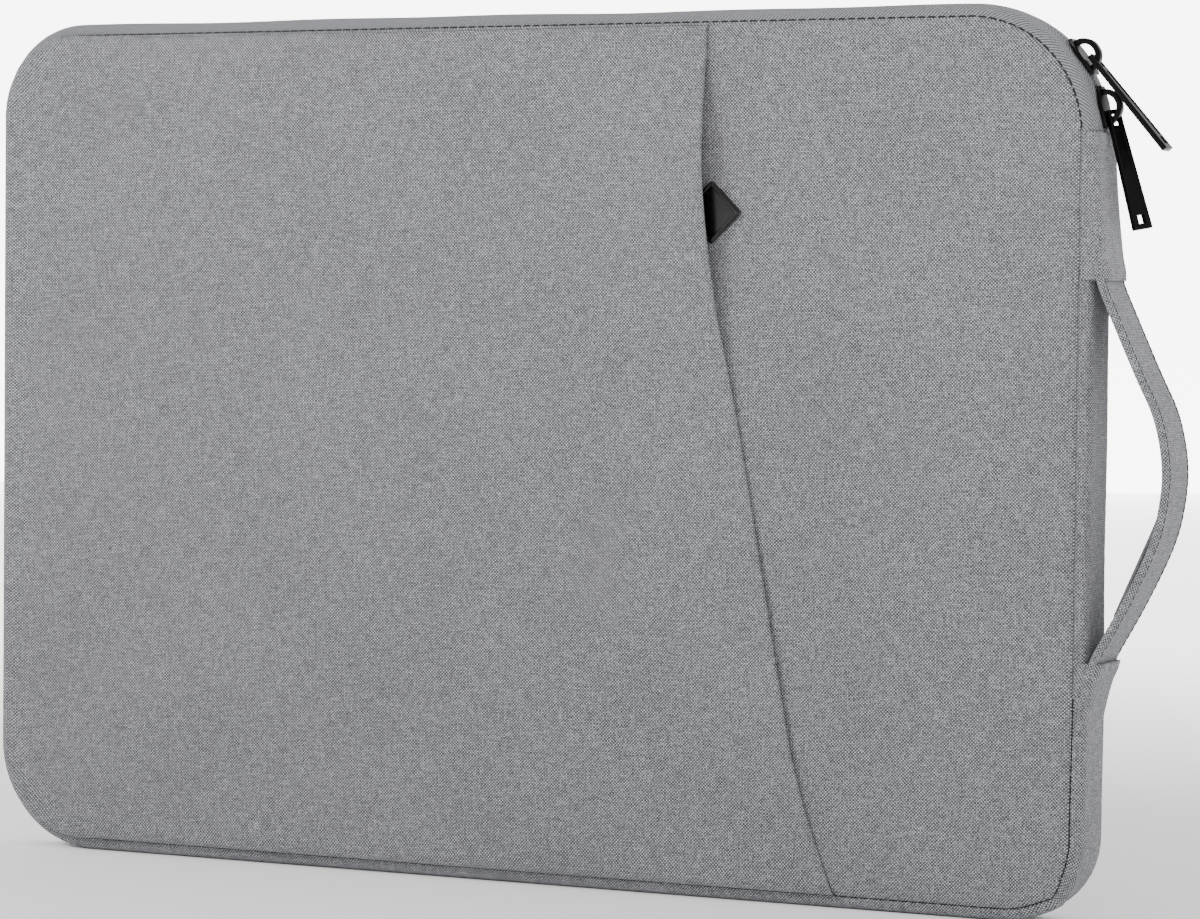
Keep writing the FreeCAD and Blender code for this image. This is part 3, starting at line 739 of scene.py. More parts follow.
@dataclass
class PaddedFaces:
    """Front and back panels, the pocket panel and what shows round them.

    Attributes:
        outline: The seam line.
        seam_y: Depth of the perimeter seams.
        ply: Thickness of the cloth ply that shows.
        roll: Width over which a panel rolls up from its seam.
        front_rise: Height of the front panel over its seam.
        back_rise: Height of the back panel over its seam.
        pocket_rise: Height of the pocket panel over the seam.
        crown: Extra swell towards the middle of a panel.
        gape: How far the pocket's mouth stands open above the tag.
        lean: How far the pocket panel's edge leans out past its seam.
        hem: Thickness of the folded cloth along the pocket's mouth.
        mouth_top: X and Z of the mouth's upper end.
        mouth_bend: Where its upper stretch turns into the long slant.
        mouth_ankle: Where the slant turns into the foot.
        mouth_foot: Its lower end.
        top_bow: Sag of the upper stretch from its chord.
        foot_bow: Sag of the foot from its chord.
        tag_height: Height of the tag's middle.
        tag_side: Side of the square tag.
        tag_thickness: Its thickness.
    """

    outline: Outline
    seam_y: float
    ply: float = 0.9 * MM
    roll: float = 4.2 * MM
    front_rise: float = 1.7 * MM
    back_rise: float = 2.0 * MM
    pocket_rise: float = 3.0 * MM
    crown: float = 1.5 * MM
    gape: float = 6.5 * MM
    lean: float = 2.8 * MM
    hem: float = 1.5 * MM
    mouth_top: tuple[float, float] = (71.0 * MM, 285.8 * MM)
    mouth_bend: tuple[float, float] = (77.5 * MM, 190.0 * MM)
    mouth_ankle: tuple[float, float] = (104.0 * MM, 50.0 * MM)
    mouth_foot: tuple[float, float] = (119.0 * MM, 4.2 * MM)
    top_bow: float = 1.5 * MM
    foot_bow: float = 1.2 * MM
    tag_height: float = 224.0 * MM
    tag_side: float = 14.5 * MM
    tag_thickness: float = 1.7 * MM

    def mouth(self, z: Array) -> Array:
        """X of the pocket's mouth: a chord per stretch, the end ones sagging as parabolas."""
        knots = [self.mouth_foot, self.mouth_ankle, self.mouth_bend, self.mouth_top]
        heights = np.array([knot[1] for knot in knots])
        places = np.array([knot[0] for knot in knots])
        chord = np.interp(z, heights, places)
        foot = np.clip((z - heights[0]) / (heights[1] - heights[0]), 0, 1)
        head = np.clip((z - heights[2]) / (heights[3] - heights[2]), 0, 1)
        sag = 4 * self.foot_bow * foot * (1 - foot) + 4 * self.top_bow * head * (1 - head)
        return chord - sag

    def swell(self, x: Array, z: Array, rise: float) -> Array:
        """Height of a padded face over its seam.

        A quarter ellipse rolls up from the seam, a slow exponential crowns the middle, three
        long waves keep the cloth from lying flat, and short ripples fade out from the stitches.
        """
        inside = np.maximum(self.outline.inside(x, z), 0.0)
        share = np.clip(inside / self.roll, 0.0, 1.0)
        roll = rise * np.sqrt(np.maximum(1.0 - (1.0 - share) ** 2, 0.0))
        crown = self.crown * (1.0 - np.exp(-inside / (45 * MM)))
        away = 1.0 - np.exp(-inside / (18 * MM))
        waves = (np.sin(x * 31.0 + z * 17.0) + 0.7 * np.sin(x * -19.0 + z * 43.0 + 1.0)
                 + 0.5 * np.sin(x * 67.0 - z * 23.0 + 2.0)) * 0.22 * MM
        phase = (x + 1.1 * z) * 2 * math.pi / (8.5 * MM)
        ripple = 0.10 * MM * np.exp(-inside / (5 * MM)) * np.sin(phase)
        return roll + crown + away * waves + share * ripple

    def opening(self, x: Array, z: Array) -> Array:
        """How far the pocket panel stands off the front panel beyond its own thickness.

        Along the mouth the cloth bows out between the top seam and the straight stretch, most
        just above the tag, and the bow fades back from the mouth as a bell curve.
        """
        back = np.maximum(self.mouth(z) - x, 0.0)
        upper = bump(150 * MM, 236 * MM, 284 * MM, z)
        lower = bump(8 * MM, 60 * MM, 230 * MM, z)
        reach = np.exp(-((back / (34 * MM)) ** 2))
        return (self.gape * upper + 0.9 * MM * lower) * reach

    def heel_shift(self, x: Array, z: Array) -> Array:
        """How far the front seam is drawn along X beside its lower right corner.

        The seam leans in towards the foot and the panel's corner is sharper than the band's, so
        the shift is inward above the corner and outward at it.  It fades out 45 mm inside.
        """
        heights = np.array([4.2, 7.0, 8.5, 10.7, 15.0, 21.0, 37.0, 43.0, 65.0, 78.0]) * MM
        shifts = np.array([0.0, 1.5, 3.3, 2.2, 0.2, -0.6, -0.6, -0.5, -0.2, 0.0]) * MM
        return np.interp(z, heights, shifts) * smoothstep(self.outline.half - 45 * MM,
                                                          self.outline.half - 8 * MM, x)

    def overhang(self, x: Array, z: Array) -> tuple[Array, Array]:
        """How far the pocket panel's rolled edge leans out past its seam, in X and Z.

        The lean grows from the seam, is largest 2.5 mm inside it and dies away exponentially.
        It goes along the slope of the distance from the seam line, and only the side away from
        the handle and the foot have it.
        """
        step = 0.05 * MM
        inside = np.maximum(self.outline.inside(x, z), 0.0)
        slope_x = self.outline.inside(x + step, z) - self.outline.inside(x - step, z)
        slope_z = self.outline.inside(x, z + step) - self.outline.inside(x, z - step)
        size = np.maximum(np.hypot(slope_x, slope_z), 1e-9)
        side = 1.0 - smoothstep(-self.outline.half, -self.outline.half + 60 * MM, x)
        foot = 1.0 - smoothstep(self.outline.low, self.outline.low + 40 * MM, z)
        reach = np.maximum(self.lean * side, 0.35 * self.lean * foot)
        share = inside / (2.5 * MM)
        out = reach * share * np.exp(1.0 - share)
        return -out * slope_x / size, -out * slope_z / size

    def rows(self) -> Array:
        """Heights of the grid rows: corner-circle steps at both ends, even steps between."""
        corner = arc_rows(self.outline.radius, 16)
        low = self.outline.low + corner
        high = self.outline.high - corner[::-1]
        middle = np.linspace(low[-1], high[0], 54)
        return np.concatenate((low, middle[1:-1], high))

    def columns(self, count: int, fine_start: bool, fine_end: bool) -> Array:
        """Shares across a row, packed towards the ends that roll or fold."""
        share = np.linspace(0.0, 1.0, count)
        edge = 0.12
        if fine_start:
            packed = share ** 2 / edge * 0.5 + share * 0.5 * share / edge
            share = np.where(share < edge, packed, share)
        if fine_end:
            rest = 1.0 - share
            share = np.where(rest < edge, 1.0 - rest ** 2 / edge, share)
        return share

    def face(self, name: str, sign: int, rise: float) -> bpy.types.Object:
        """A whole padded face from seam to seam.

        Args:
            name: Object name.
            sign: -1 for the front, 1 for the back.
            rise: Height over the seam.

        Returns:
            The closed ply.
        """
        z = self.rows()[:, None]
        share = self.columns(120, True, True)[None, :]
        left = self.outline.left(z)
        right = self.outline.right(z)
        x = left + (right - left) * share
        z = np.broadcast_to(z, x.shape)
        height = self.swell(x, z, rise)
        if sign < 0:
            x = x + self.heel_shift(x, z)
        outer = np.stack((x, sign * (self.seam_y + height), z), -1)
        inner_height = np.maximum(height - self.ply, -0.2 * MM)
        inner = np.stack((x, sign * (self.seam_y + inner_height), z), -1)
        return shell(name, outer, inner, np.stack((x, z), -1))

    def pocket(self) -> bpy.types.Object:
        """The pocket panel from the left seam to its folded mouth.

        The last few columns round the fold over: their depth follows a half circle of the
        hem's thickness, so the edge is a soft fold and not a cut.
        """
        hem = self.hem
        z = self.rows()[:, None]
        share = self.columns(110, True, False)[None, :]
        left = self.outline.left(z)
        x = left + (self.mouth(z) - 0.4 * hem - left) * share
        turn = np.linspace(0.0, math.pi, 9)[None, 1:]
        fold_x = x[:, -1:] + 0.5 * hem * np.sin(turn)
        fold_back = 0.5 * hem * (1.0 - np.cos(turn)) * np.clip(
            self.outline.inside(fold_x, np.broadcast_to(z, fold_x.shape)) / (3 * MM), 0.1, 1.0)
        heights = np.broadcast_to(z, x.shape)
        top = self.swell(x, heights, self.pocket_rise) + self.opening(x, heights)
        fold_height = top[:, -1:] - fold_back
        x_all = np.concatenate((x, fold_x), 1)
        height = np.concatenate((top, fold_height), 1)
        z_all = np.broadcast_to(z, x_all.shape)
        lean_x, lean_z = self.overhang(x_all, z_all)
        outer = np.stack((x_all + lean_x, -(self.seam_y + height), z_all + lean_z), -1)
        thick = np.full_like(height, hem)
        thick[:, -8:] = np.maximum(hem - fold_back, 0.02 * MM)
        thin = np.clip(self.outline.inside(x_all, z_all) / (3 * MM), 0.1, 1.0)
        under_height = height - thick * thin
        under_x = np.minimum(x_all, x[:, -1:])
        inner = np.stack((under_x + lean_x, -(self.seam_y + under_height), z_all + lean_z), -1)
        across = np.concatenate((x, x[:, -1:] + 0.5 * hem * turn), 1)
        return shell("pocket_panel_cloth", outer, inner, np.stack((across, z_all), -1))

    def tag(self) -> list[bpy.types.Object]:
        """The square rubber tag on its corner: a body with rounded edges and a raised rim.

        Both are superellipse-like squares: a diamond whose corners are rounded by a power, with
        rings of points stepping in from the side to the face.
        """
        height = self.tag_height
        x_middle = float(self.mouth(np.array(height))) + 0.4 * MM
        lift = float(self.swell(np.array(x_middle), np.array(height), self.front_rise))
        back_y = -(self.seam_y + lift + 0.15 * MM)
        reach = self.tag_side / math.sqrt(2)
        steps = 96
        angle = np.linspace(0, 2 * math.pi, steps, endpoint=False)
        power = 1.02
        norm = (np.abs(np.cos(angle)) ** power + np.abs(np.sin(angle)) ** power) ** (1 / power)
        ring_x = np.cos(angle) / norm
        ring_z = np.sin(angle) / norm
        thick = self.tag_thickness
        place = (ring_x, ring_z, reach, thick, x_middle, height, back_y)
        body = tube("tag_body", self.stack(TAG_BODY, *place), np.zeros((len(TAG_BODY), steps + 1, 2)))
        rim = self.stack(TAG_RIM, *place)
        under = self.stack([(share, TAG_RIM_SUNK) for share, _ in TAG_RIM], *place)
        return [body, shell("tag_rim", np.swapaxes(rim, 0, 1), np.swapaxes(under, 0, 1),
                            np.zeros((steps + 1, len(TAG_RIM), 2)), ring=True)]

    @staticmethod
    def stack(profile: list[tuple[float, float]], ring_x: Array, ring_z: Array, reach: float,
              thick: float, x: float, z: float, back_y: float) -> Array:
        """Rings of the tag: each profile entry is a share of its reach and of its thickness."""
        scale = np.array([entry[0] for entry in profile])[:, None] * reach
        depth = np.array([entry[1] for entry in profile])[:, None] * thick
        lean = 0.06
        px = x + scale * ring_x[None, :]
        pz = z + scale * ring_z[None, :]
        py = back_y - depth - lean * (x + reach - px) * 0.5
        return np.stack((px, np.broadcast_to(py, px.shape), pz), -1)

    def build(self, wardrobe: Wardrobe) -> None:
        """Make and dress every piece."""
        front = self.face("front_panel_cloth", -1, self.front_rise)
        back = self.face("back_panel_cloth", 1, self.back_rise)
        pocket = self.pocket()
        for obj, node, fill in ((front, "front_panel", 0.5), (back, "back_panel", 0.5),
                                (pocket, "pocket_panel", 0.3)):
            finish(obj, wardrobe, Finish.CLOTH, "heather_cloth", node)
        for obj in self.tag():
            finish(obj, wardrobe, Finish.RUBBER, "tag_rubber", "pocket_tag")


# ---- bands between the seams ----------------------------------------------------------------

@dataclass
class Bands:
    """The gusset band, the zip tapes over the top, the meshed coils and the seam stitches.

    Attributes:
        outline: The seam line.
        seam_y: Depth of the perimeter seams.
        proud: How far the band stands out past the seams.
        heel: How far the front seam is drawn along X at a place.
        shoulder: Rounding of the band towards each seam.
        ply: Thickness of the band's cloth.
        slit: Half the gap between the two tapes.
        coil_gap: Half the width of the strip of meshed coils.
        coil_depth: How far that strip lies under the tapes' outer face.
        stitch: Length of one stitch with its gap.
        stitch_gap: Length of cloth between two of the dark stitches.
        thread: Radius of their thread.
        seam_line: Radius of the finer thread along the rest of the seam.
        seam_line_gap: Length of cloth between two of its stitches.
    """

    outline: Outline
    seam_y: float
    proud: float
    heel: Callable[[Array, Array], Array]
    shoulder: float = 3.5 * MM
    ply: float = 0.9 * MM
    slit: float = 0.35 * MM
    coil_gap: float = 0.72 * MM
    coil_depth: float = 1.4 * MM
    stitch: float = 3.4 * MM
    stitch_gap: float = 0.75 * MM
    thread: float = 0.27 * MM
    seam_line: float = 0.19 * MM
    seam_line_gap: float = 0.25 * MM

    def section(self, y_from: float, y_to: float, count: int) -> tuple[Array, Array]:
        """Outward rise and depth across the band between two depths.

        Near each seam the rise follows a quarter circle of the shoulder's radius, and between
        the shoulders it is flat, so the sleeve stands on it.
        """
        share = np.linspace(0.0, 1.0, count)
        y = y_from + (y_to - y_from) * (share - 0.06 * np.sin(2 * math.pi * share))
        over = np.clip((np.abs(y) - (self.seam_y - self.shoulder)) / self.shoulder, 0.0, 1.0)
        rise = self.proud - self.shoulder * (1.0 - np.sqrt(np.maximum(1.0 - over ** 2, 0.0)))
        tuck = smoothstep(0.985, 1.0, over) * (self.proud - self.shoulder)
        return rise - tuck, y

    def band(self, name: str, start: float, end: float, y_from: float, y_to: float,
             lift: Callable[[Array], Array] | None = None) -> bpy.types.Object:
        """A ply that follows the seam line between two distances and two depths.

        Args:
            name: Object name.
            start: Distance along the seam line where it starts.
            end: Distance where it ends.
            y_from: First depth.
            y_to: Last depth.
            lift: Extra rise as a function of depth, or None.

        Returns:
            The closed ply.
        """
        distance, points, normals = self.outline.path(start, end, 3.0 * MM)
        rise, y = self.section(y_from, y_to, 34)
        if lift is not None:
            rise = rise + lift(y)
        edge = np.clip((self.seam_y - np.abs(y)) / (2.5 * MM), 0.0, 1.0)
        pucker = 0.12 * MM * np.sin(distance * 2 * math.pi / (7.3 * MM))[:, None]
        soft = 0.16 * MM * (np.sin(distance * 83.0) + np.sin(distance * 37.0 + 1.0))[:, None]
        bottom = smoothstep(-0.9, -0.5, normals[:, 1])[:, None]
        ripple = (pucker * (1.0 - edge) * edge * 4.0 + soft * edge) * bottom
        slack = 0.4 * MM * smoothstep(0.5, 0.95, -normals[:, 0])[:, None]
        outer_rise = rise[None, :] + ripple - slack * edge
        outer = self.place(points, normals, outer_rise, y)
        inner = self.place(points, normals, outer_rise - self.ply, y)
        girth = np.concatenate(([0.0], np.cumsum(np.hypot(np.diff(y), np.diff(rise)))))
        uv = np.stack(np.broadcast_arrays(distance[:, None], girth[None, :]), -1)
        return shell(name, outer, inner, uv)

    def place(self, points: Array, normals: Array, rise: Array, y: Array) -> Array:
        """Points of a band from its path, its rise and its depths."""
        front = smoothstep(-0.2, 1.0, -y / self.seam_y)[None, :]
        drawn = self.heel(points[:, :1], points[:, 1:]) * front
        x = points[:, :1] + normals[:, :1] * rise + drawn
        z = points[:, 1:] + normals[:, 1:] * rise
        return np.stack((x, np.broadcast_to(y[None, :], x.shape), z), -1)

    def coil_lift(self, y: Array) -> Array:
        """The tape bulges over the coil under it and dips to the slit."""
        near = np.abs(y)
        hill = 0.35 * MM * np.exp(-(((near - 2.2 * MM) / (1.3 * MM)) ** 2))
        dip = -0.45 * MM * np.exp(-((near / (0.7 * MM)) ** 2))
        fold = -0.25 * MM * np.exp(-(((near - 4.4 * MM) / (0.5 * MM)) ** 2))
        return hill + dip + fold

    def coil_drop(self, y: Array) -> Array:
        """The meshed coils lie under the tapes, all across the slit."""
        return np.full_like(y, -self.coil_depth)

    def stitches(self, name: str, start: float, end: float, y: float, thread: float,
                 gap: float) -> bpy.types.Object:
        """A row of stitches: short capsules of thread lying in the seam.

        Each stitch is a capsule of six sides and six rings.  All are computed at once as an
        array of (stitch, ring, side) points.

        Args:
            name: Object name.
            start: Distance along the seam line where they start.
            end: Distance where they end.
            y: Depth of the row.
            thread: Radius of the thread.
            gap: Length of cloth between two stitches.

        Returns:
            The thread as one object of many closed capsules.
        """
        count = int((end - start) / self.stitch)
        middle = start + (np.arange(count) + 0.5) * self.stitch
        half = (self.stitch - gap) / 2
        ring_at = np.array([-1.0, -0.93, -0.6, 0.6, 0.93, 1.0])
        distance = (middle[:, None] + ring_at[None, :] * half).ravel()
        points, normals = self.at(distance)
        if y < 0:
            points[:, 0] += self.heel(points[:, 0], points[:, 1])
        points = points.reshape(count, 6, 2)
        normals = normals.reshape(count, 6, 2)
        sag = (0.16 * MM * (1 - np.abs(ring_at) ** 2))[None, :, None]
        size = thread * RING_SIZE[None, :, None]
        out = 0.1 * MM + sag + size * np.cos(RING_TURN)[None, None, :]
        depth = y + size * np.sin(RING_TURN)[None, None, :]
        x = points[..., 0:1] + normals[..., 0:1] * out
        z = points[..., 1:2] + normals[..., 1:2] * out
        vertices = np.stack((x, np.broadcast_to(depth, x.shape), z), -1).reshape(-1, 3)
        return capsules(name, vertices)

    def at(self, distance: Array) -> tuple[Array, Array]:
        """Points and normals of the seam line at given distances, read off a fine path."""
        fine, points, normals = self.outline.path(distance.min() - MM, distance.max() + MM,
                                                  0.5 * MM)
        x = np.stack([np.interp(distance, fine, points[:, k]) for k in (0, 1)], 1)
        n = np.stack([np.interp(distance, fine, normals[:, k]) for k in (0, 1)], 1)
        return x, n / np.linalg.norm(n, axis=1, keepdims=True)

    def build(self, wardrobe: Wardrobe) -> None:
        """Make and dress every piece."""
        total = self.outline.length()
        zip_start = self.outline.zip_start()
        zip_end = self.outline.zip_end()
        seam = self.seam_y
        tuck = 0.5 * MM
        band = self.band("gusset_cloth", zip_end - tuck, total + zip_start + tuck, -seam, seam)
        finish(band, wardrobe, Finish.CLOTH, "heather_cloth", "gusset_band")
        mesh = self.band("zip_coil_mesh", zip_start, zip_end, -self.coil_gap, self.coil_gap,
                         self.coil_drop)
        finish(mesh, wardrobe, Finish.COIL, "nylon_coil", None)
        for side, sign in (("front", -1), ("back", 1)):
            tape = self.band(side + "_tape_cloth", zip_start, zip_end, sign * seam,
                             sign * self.slit, self.coil_lift)
            finish(tape, wardrobe, Finish.TAPE, "zip_tape_twill", side + "_zip_tape")
            place = sign * (seam + 0.05 * MM)
            rows = (("_seam_stitches", zip_start + 10 * MM, zip_end - 4 * MM, self.thread,
                     self.stitch_gap),
                    ("_seam_line", zip_end, total - 72 * MM, self.seam_line, self.seam_line_gap))
            for kind, start, end, thread, gap in rows:
                row = self.stitches(side + kind, start, end, place, thread, gap)
                finish(row, wardrobe, Finish.THREAD, "binding_tape", None)


# ---- handle and its covers --------------------------------------------------------------------

@dataclass
class HandleSet:
    """The strap on the short side and the two cloth covers that hold its ends.

    Attributes:
        side_x: The body's side.
        seam_x: Where the covers are sewn in.
        seam_y: Depth of the perimeter seams.
        width: Width of the strap.
        thick: Thickness of the strap.
        top: Height where the strap leaves the upper cover.
        bottom: Height where it leaves the lower cover.
        bow: How far the strap stands out from the side.
        bend: Radius of its rounded middle; not used.
        root: How far its outer face stands out at the covers.
        cover_ply: Thickness of a cover's cloth.
        cover_top: Upper edge of the upper cover.
        cover_bottom: Lower end of the lower cover.
        stitch_inset: How far the stitch rows lie in from the strap's edges.
        thread: Radius of their thread.
    """

    side_x: float
    seam_x: float
    seam_y: float
    width: float = 22.5 * MM
    thick: float = 2.5 * MM
    top: float = 203.0 * MM
    bottom: float = 83.0 * MM
    bow: float = 26.0 * MM
    bend: float = 42.0 * MM
    root: float = 3.6 * MM
    cover_ply: float = 1.0 * MM
    cover_top: float = 249.5 * MM
    cover_bottom: float = 44.0 * MM
    stitch_inset: float = 1.6 * MM
    thread: float = 0.36 * MM

    def centre_line(self) -> tuple[Array, Array, Array]:
        """The strap's middle line from inside the upper cover to inside the lower one.

        A few heights and stand-offs give the hang of the strap: nearly straight legs, a round
        middle a little above the half way height, and ends that turn down into the covers.  A
        Catmull-Rom curve runs through them.

        Returns:
            Distances, (n, 2) points in X and Z, and (n, 2) outward normals.
        """
        root = self.root
        bow = self.bow
        drop = self.top - self.bottom
        knots = np.array([
            (root * 0.45, self.top + 24 * MM),
            (root * 0.75, self.top + 10 * MM),
            (root * 1.05, self.top),
            (bow * 0.30, self.top - 0.08 * drop),
            (bow * 0.655, self.top - 0.25 * drop),
            (bow * 0.885, self.top - 0.355 * drop),
            (bow * 1.00, self.top - 0.485 * drop),
            (bow * 0.955, self.top - 0.60 * drop),
            (bow * 0.845, self.top - 0.69 * drop),
            (bow * 0.615, self.top - 0.80 * drop),
            (bow * 0.36, self.top - 0.905 * drop),
            (root * 0.85, self.bottom),
            (root * 0.05, self.bottom - 12 * MM),
            (-root * 0.30, self.bottom - 22 * MM),
        ])
        knots[:, 0] += self.side_x - self.thick / 2
        ends = np.vstack((2 * knots[0] - knots[1], knots, 2 * knots[-1] - knots[-2]))
        t = np.linspace(0.0, 1.0, 12, endpoint=False)[None, :, None]
        p0, p1, p2, p3 = (ends[k:len(ends) - 3 + k][:, None, :] for k in range(4))
        curve = 0.5 * (2 * p1 + (p2 - p0) * t + (2 * p0 - 5 * p1 + 4 * p2 - p3) * t ** 2
                       + (3 * p1 - p0 - 3 * p2 + p3) * t ** 3)
        points = np.vstack((curve.reshape(-1, 2), knots[-1:]))
        kernel = np.ones(9) / 9
        padded = np.vstack((np.repeat(points[:1], 4, 0), points, np.repeat(points[-1:], 4, 0)))
        points = np.stack([np.convolve(padded[:, k], kernel, "valid") for k in (0, 1)], 1)
        along = np.gradient(points, axis=0)
        along /= np.linalg.norm(along, axis=1, keepdims=True)
        normals = np.stack((-along[:, 1], along[:, 0]), 1)
        steps = np.linalg.norm(np.diff(points, axis=0), axis=1)
        return np.concatenate(([0.0], np.cumsum(steps))), points, normals

    def strap(self) -> bpy.types.Object:
        """The strap: a flat section with rounded, slightly fuller edges, carried along its line."""
        distance, points, normals = self.centre_line()
        half = self.width / 2
        edge = self.thick / 2
        turn = np.linspace(-math.pi / 2, math.pi / 2, 9)
        flat = np.linspace(-1, 1, 26)[1:-1] * (half - edge)
        from_row = (np.abs(flat) - (half - self.stitch_inset)) / (0.7 * MM)
        pinch = 1.0 - 0.22 * np.exp(-(from_row ** 2))
        right = np.stack((half - edge + edge * np.cos(turn), edge * np.sin(turn)), 1)
        upper = np.stack((-flat, edge * pinch), 1)
        section = np.concatenate((right, upper, -right, -upper))
        y = np.broadcast_to(section[None, :, 0], (len(points), len(section)))
        out = section[None, :, 1]
        x = points[:, :1] + normals[:, :1] * out
        z = points[:, 1:] + normals[:, 1:] * out
        girth = np.linalg.norm(np.diff(section, axis=0, append=section[:1]), axis=1)
        girth = np.concatenate(([0.0], np.cumsum(girth)))
        uv = np.stack(np.broadcast_arrays(girth[None, :], distance[:, None]), -1)
        return tube("strap_cloth", np.stack((x, y, z), -1), uv)

    def strap_stitches(self) -> bpy.types.Object:
        """Two rows of stitches on each face, each stitch a small closed capsule."""
        distance, points, normals = self.centre_line()
        pitch = 2.6 * MM
        first = 22.0 * MM
        count = int((distance[-1] - 2 * first) / pitch)
        ring_at = np.array([-1.0, -0.9, -0.5, 0.5, 0.9, 1.0])
        middle = first + (np.arange(count) + 0.5) * pitch
        where = (middle[:, None] + ring_at[None, :] * 1.05 * MM).ravel()
        line = np.stack([np.interp(where, distance, points[:, k]) for k in (0, 1)], 1)
        norm = np.stack([np.interp(where, distance, normals[:, k]) for k in (0, 1)], 1)
        line = line.reshape(count, 6, 1, 2)
        norm = norm.reshape(count, 6, 1, 2)
        size = self.thread * RING_SIZE[None, :, None]
        blocks = []
        for face in (-1, 1):
            for row in (-1, 1):
                out = face * (self.thick / 2 * 0.86) + size * np.cos(RING_TURN)
                y = row * (self.width / 2 - self.stitch_inset) + size * np.sin(RING_TURN)
                x = line[..., 0] + norm[..., 0] * out
                z = line[..., 1] + norm[..., 1] * out
                blocks.append(np.stack((x, np.broadcast_to(y, x.shape), z), -1))
        return capsules("strap_stitches", np.concatenate(blocks).reshape(-1, 3))

    def cover(self, upper: bool) -> bpy.types.Object:
        """A cover: a wide C section that flares out to the mouth the strap leaves by.

        Across, the section runs from the front seam out round a soft corner, over the strap
        and back to the back seam.  Its outer face follows an ease curve from flush to the
        strap's root, with a rolled hem at the mouth.
        """
        mouth = self.top if upper else self.bottom
        far = self.cover_top if upper else self.cover_bottom
        rows = 44
        share = np.linspace(0.0, 1.0, rows)
        z = far + (mouth - far) * share
        full = self.side_x + self.root + self.cover_ply + 0.55 * MM
        half = np.full((rows, 1), self.seam_y + 0.55 * MM)
        if upper:
            flush = self.side_x + 1.0 * MM
            out = flush + (full - flush) * (0.35 * share + 0.65 * share ** 1.8)
        else:
            # The lower end has no edge of its own: it sinks into the band
            flush = self.side_x - 1.3 * MM
            out = flush + (full - flush) * share ** 2.4
            half = half - 1.25 * MM * (1 - smoothstep(0.3, 0.75, share))[:, None]
        hem = 0.35 * MM * np.exp(-(((share - 0.93) / 0.05) ** 2))
        out = out + hem
        across = np.linspace(-1.0, 1.0, 73)
        corner = 3.0 * MM
        wall = out[:, None] - self.seam_x
        run = wall + half
        arc = np.abs(across)[None, :] * run
        flat = half - corner
        bend = corner * math.pi / 2
        past = np.clip((arc - flat) / bend, 0.0, 1.0) * (math.pi / 2)
        tail = np.maximum(arc - flat - bend, 0.0)
        limit = np.maximum(wall - corner, 0.0)
        y = np.minimum(arc, flat) + corner * np.sin(past)
        drop = corner * (1 - np.cos(past)) + np.minimum(tail, limit)
        x = out[:, None] - drop
        settle = smoothstep(0.0, 1.0, (drop / wall))
        y = np.sign(across)[None, :] * (y - settle * 0.75 * MM * (1.0 - 0.3 * share[:, None]))
        z_grid = np.broadcast_to(z[:, None], x.shape)
        crease = 0.12 * MM * np.sin(across * 19.0 + 1.0)[None, :] * share[:, None]
        outer = np.stack((x + crease * (drop < 0.5 * MM), y, z_grid), -1)
        nx = np.cos(past)
        ny = np.sin(past) * np.sign(across)[None, :]
        inner = np.stack((outer[..., 0] - self.cover_ply * nx, y - self.cover_ply * ny, z_grid), -1)
        name = "upper_cover_cloth" if upper else "lower_cover_cloth"
        girth = np.broadcast_to(across[None, :] * run, x.shape)
        return shell(name, outer, inner, np.stack((girth, z_grid), -1))

    def build(self, wardrobe: Wardrobe) -> None:
        """Make and dress every piece."""
        strap = self.strap()
        wardrobe.dress(strap, Finish.CLOTH, "heather_cloth")
        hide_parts("handle_wrap", "handle_upper_tail", "handle_lower_tail")
        row = self.strap_stitches()
        wardrobe.dress(row, Finish.THREAD, "binding_tape")
        for obj in (strap, row):
            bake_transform(obj)
            report(obj)
        for upper, node in ((True, "upper_handle_cover"), (False, "lower_handle_cover")):
            finish(self.cover(upper), wardrobe, Finish.CLOTH, "heather_cloth", node)


# ---- zip metal --------------------------------------------------------------------------------

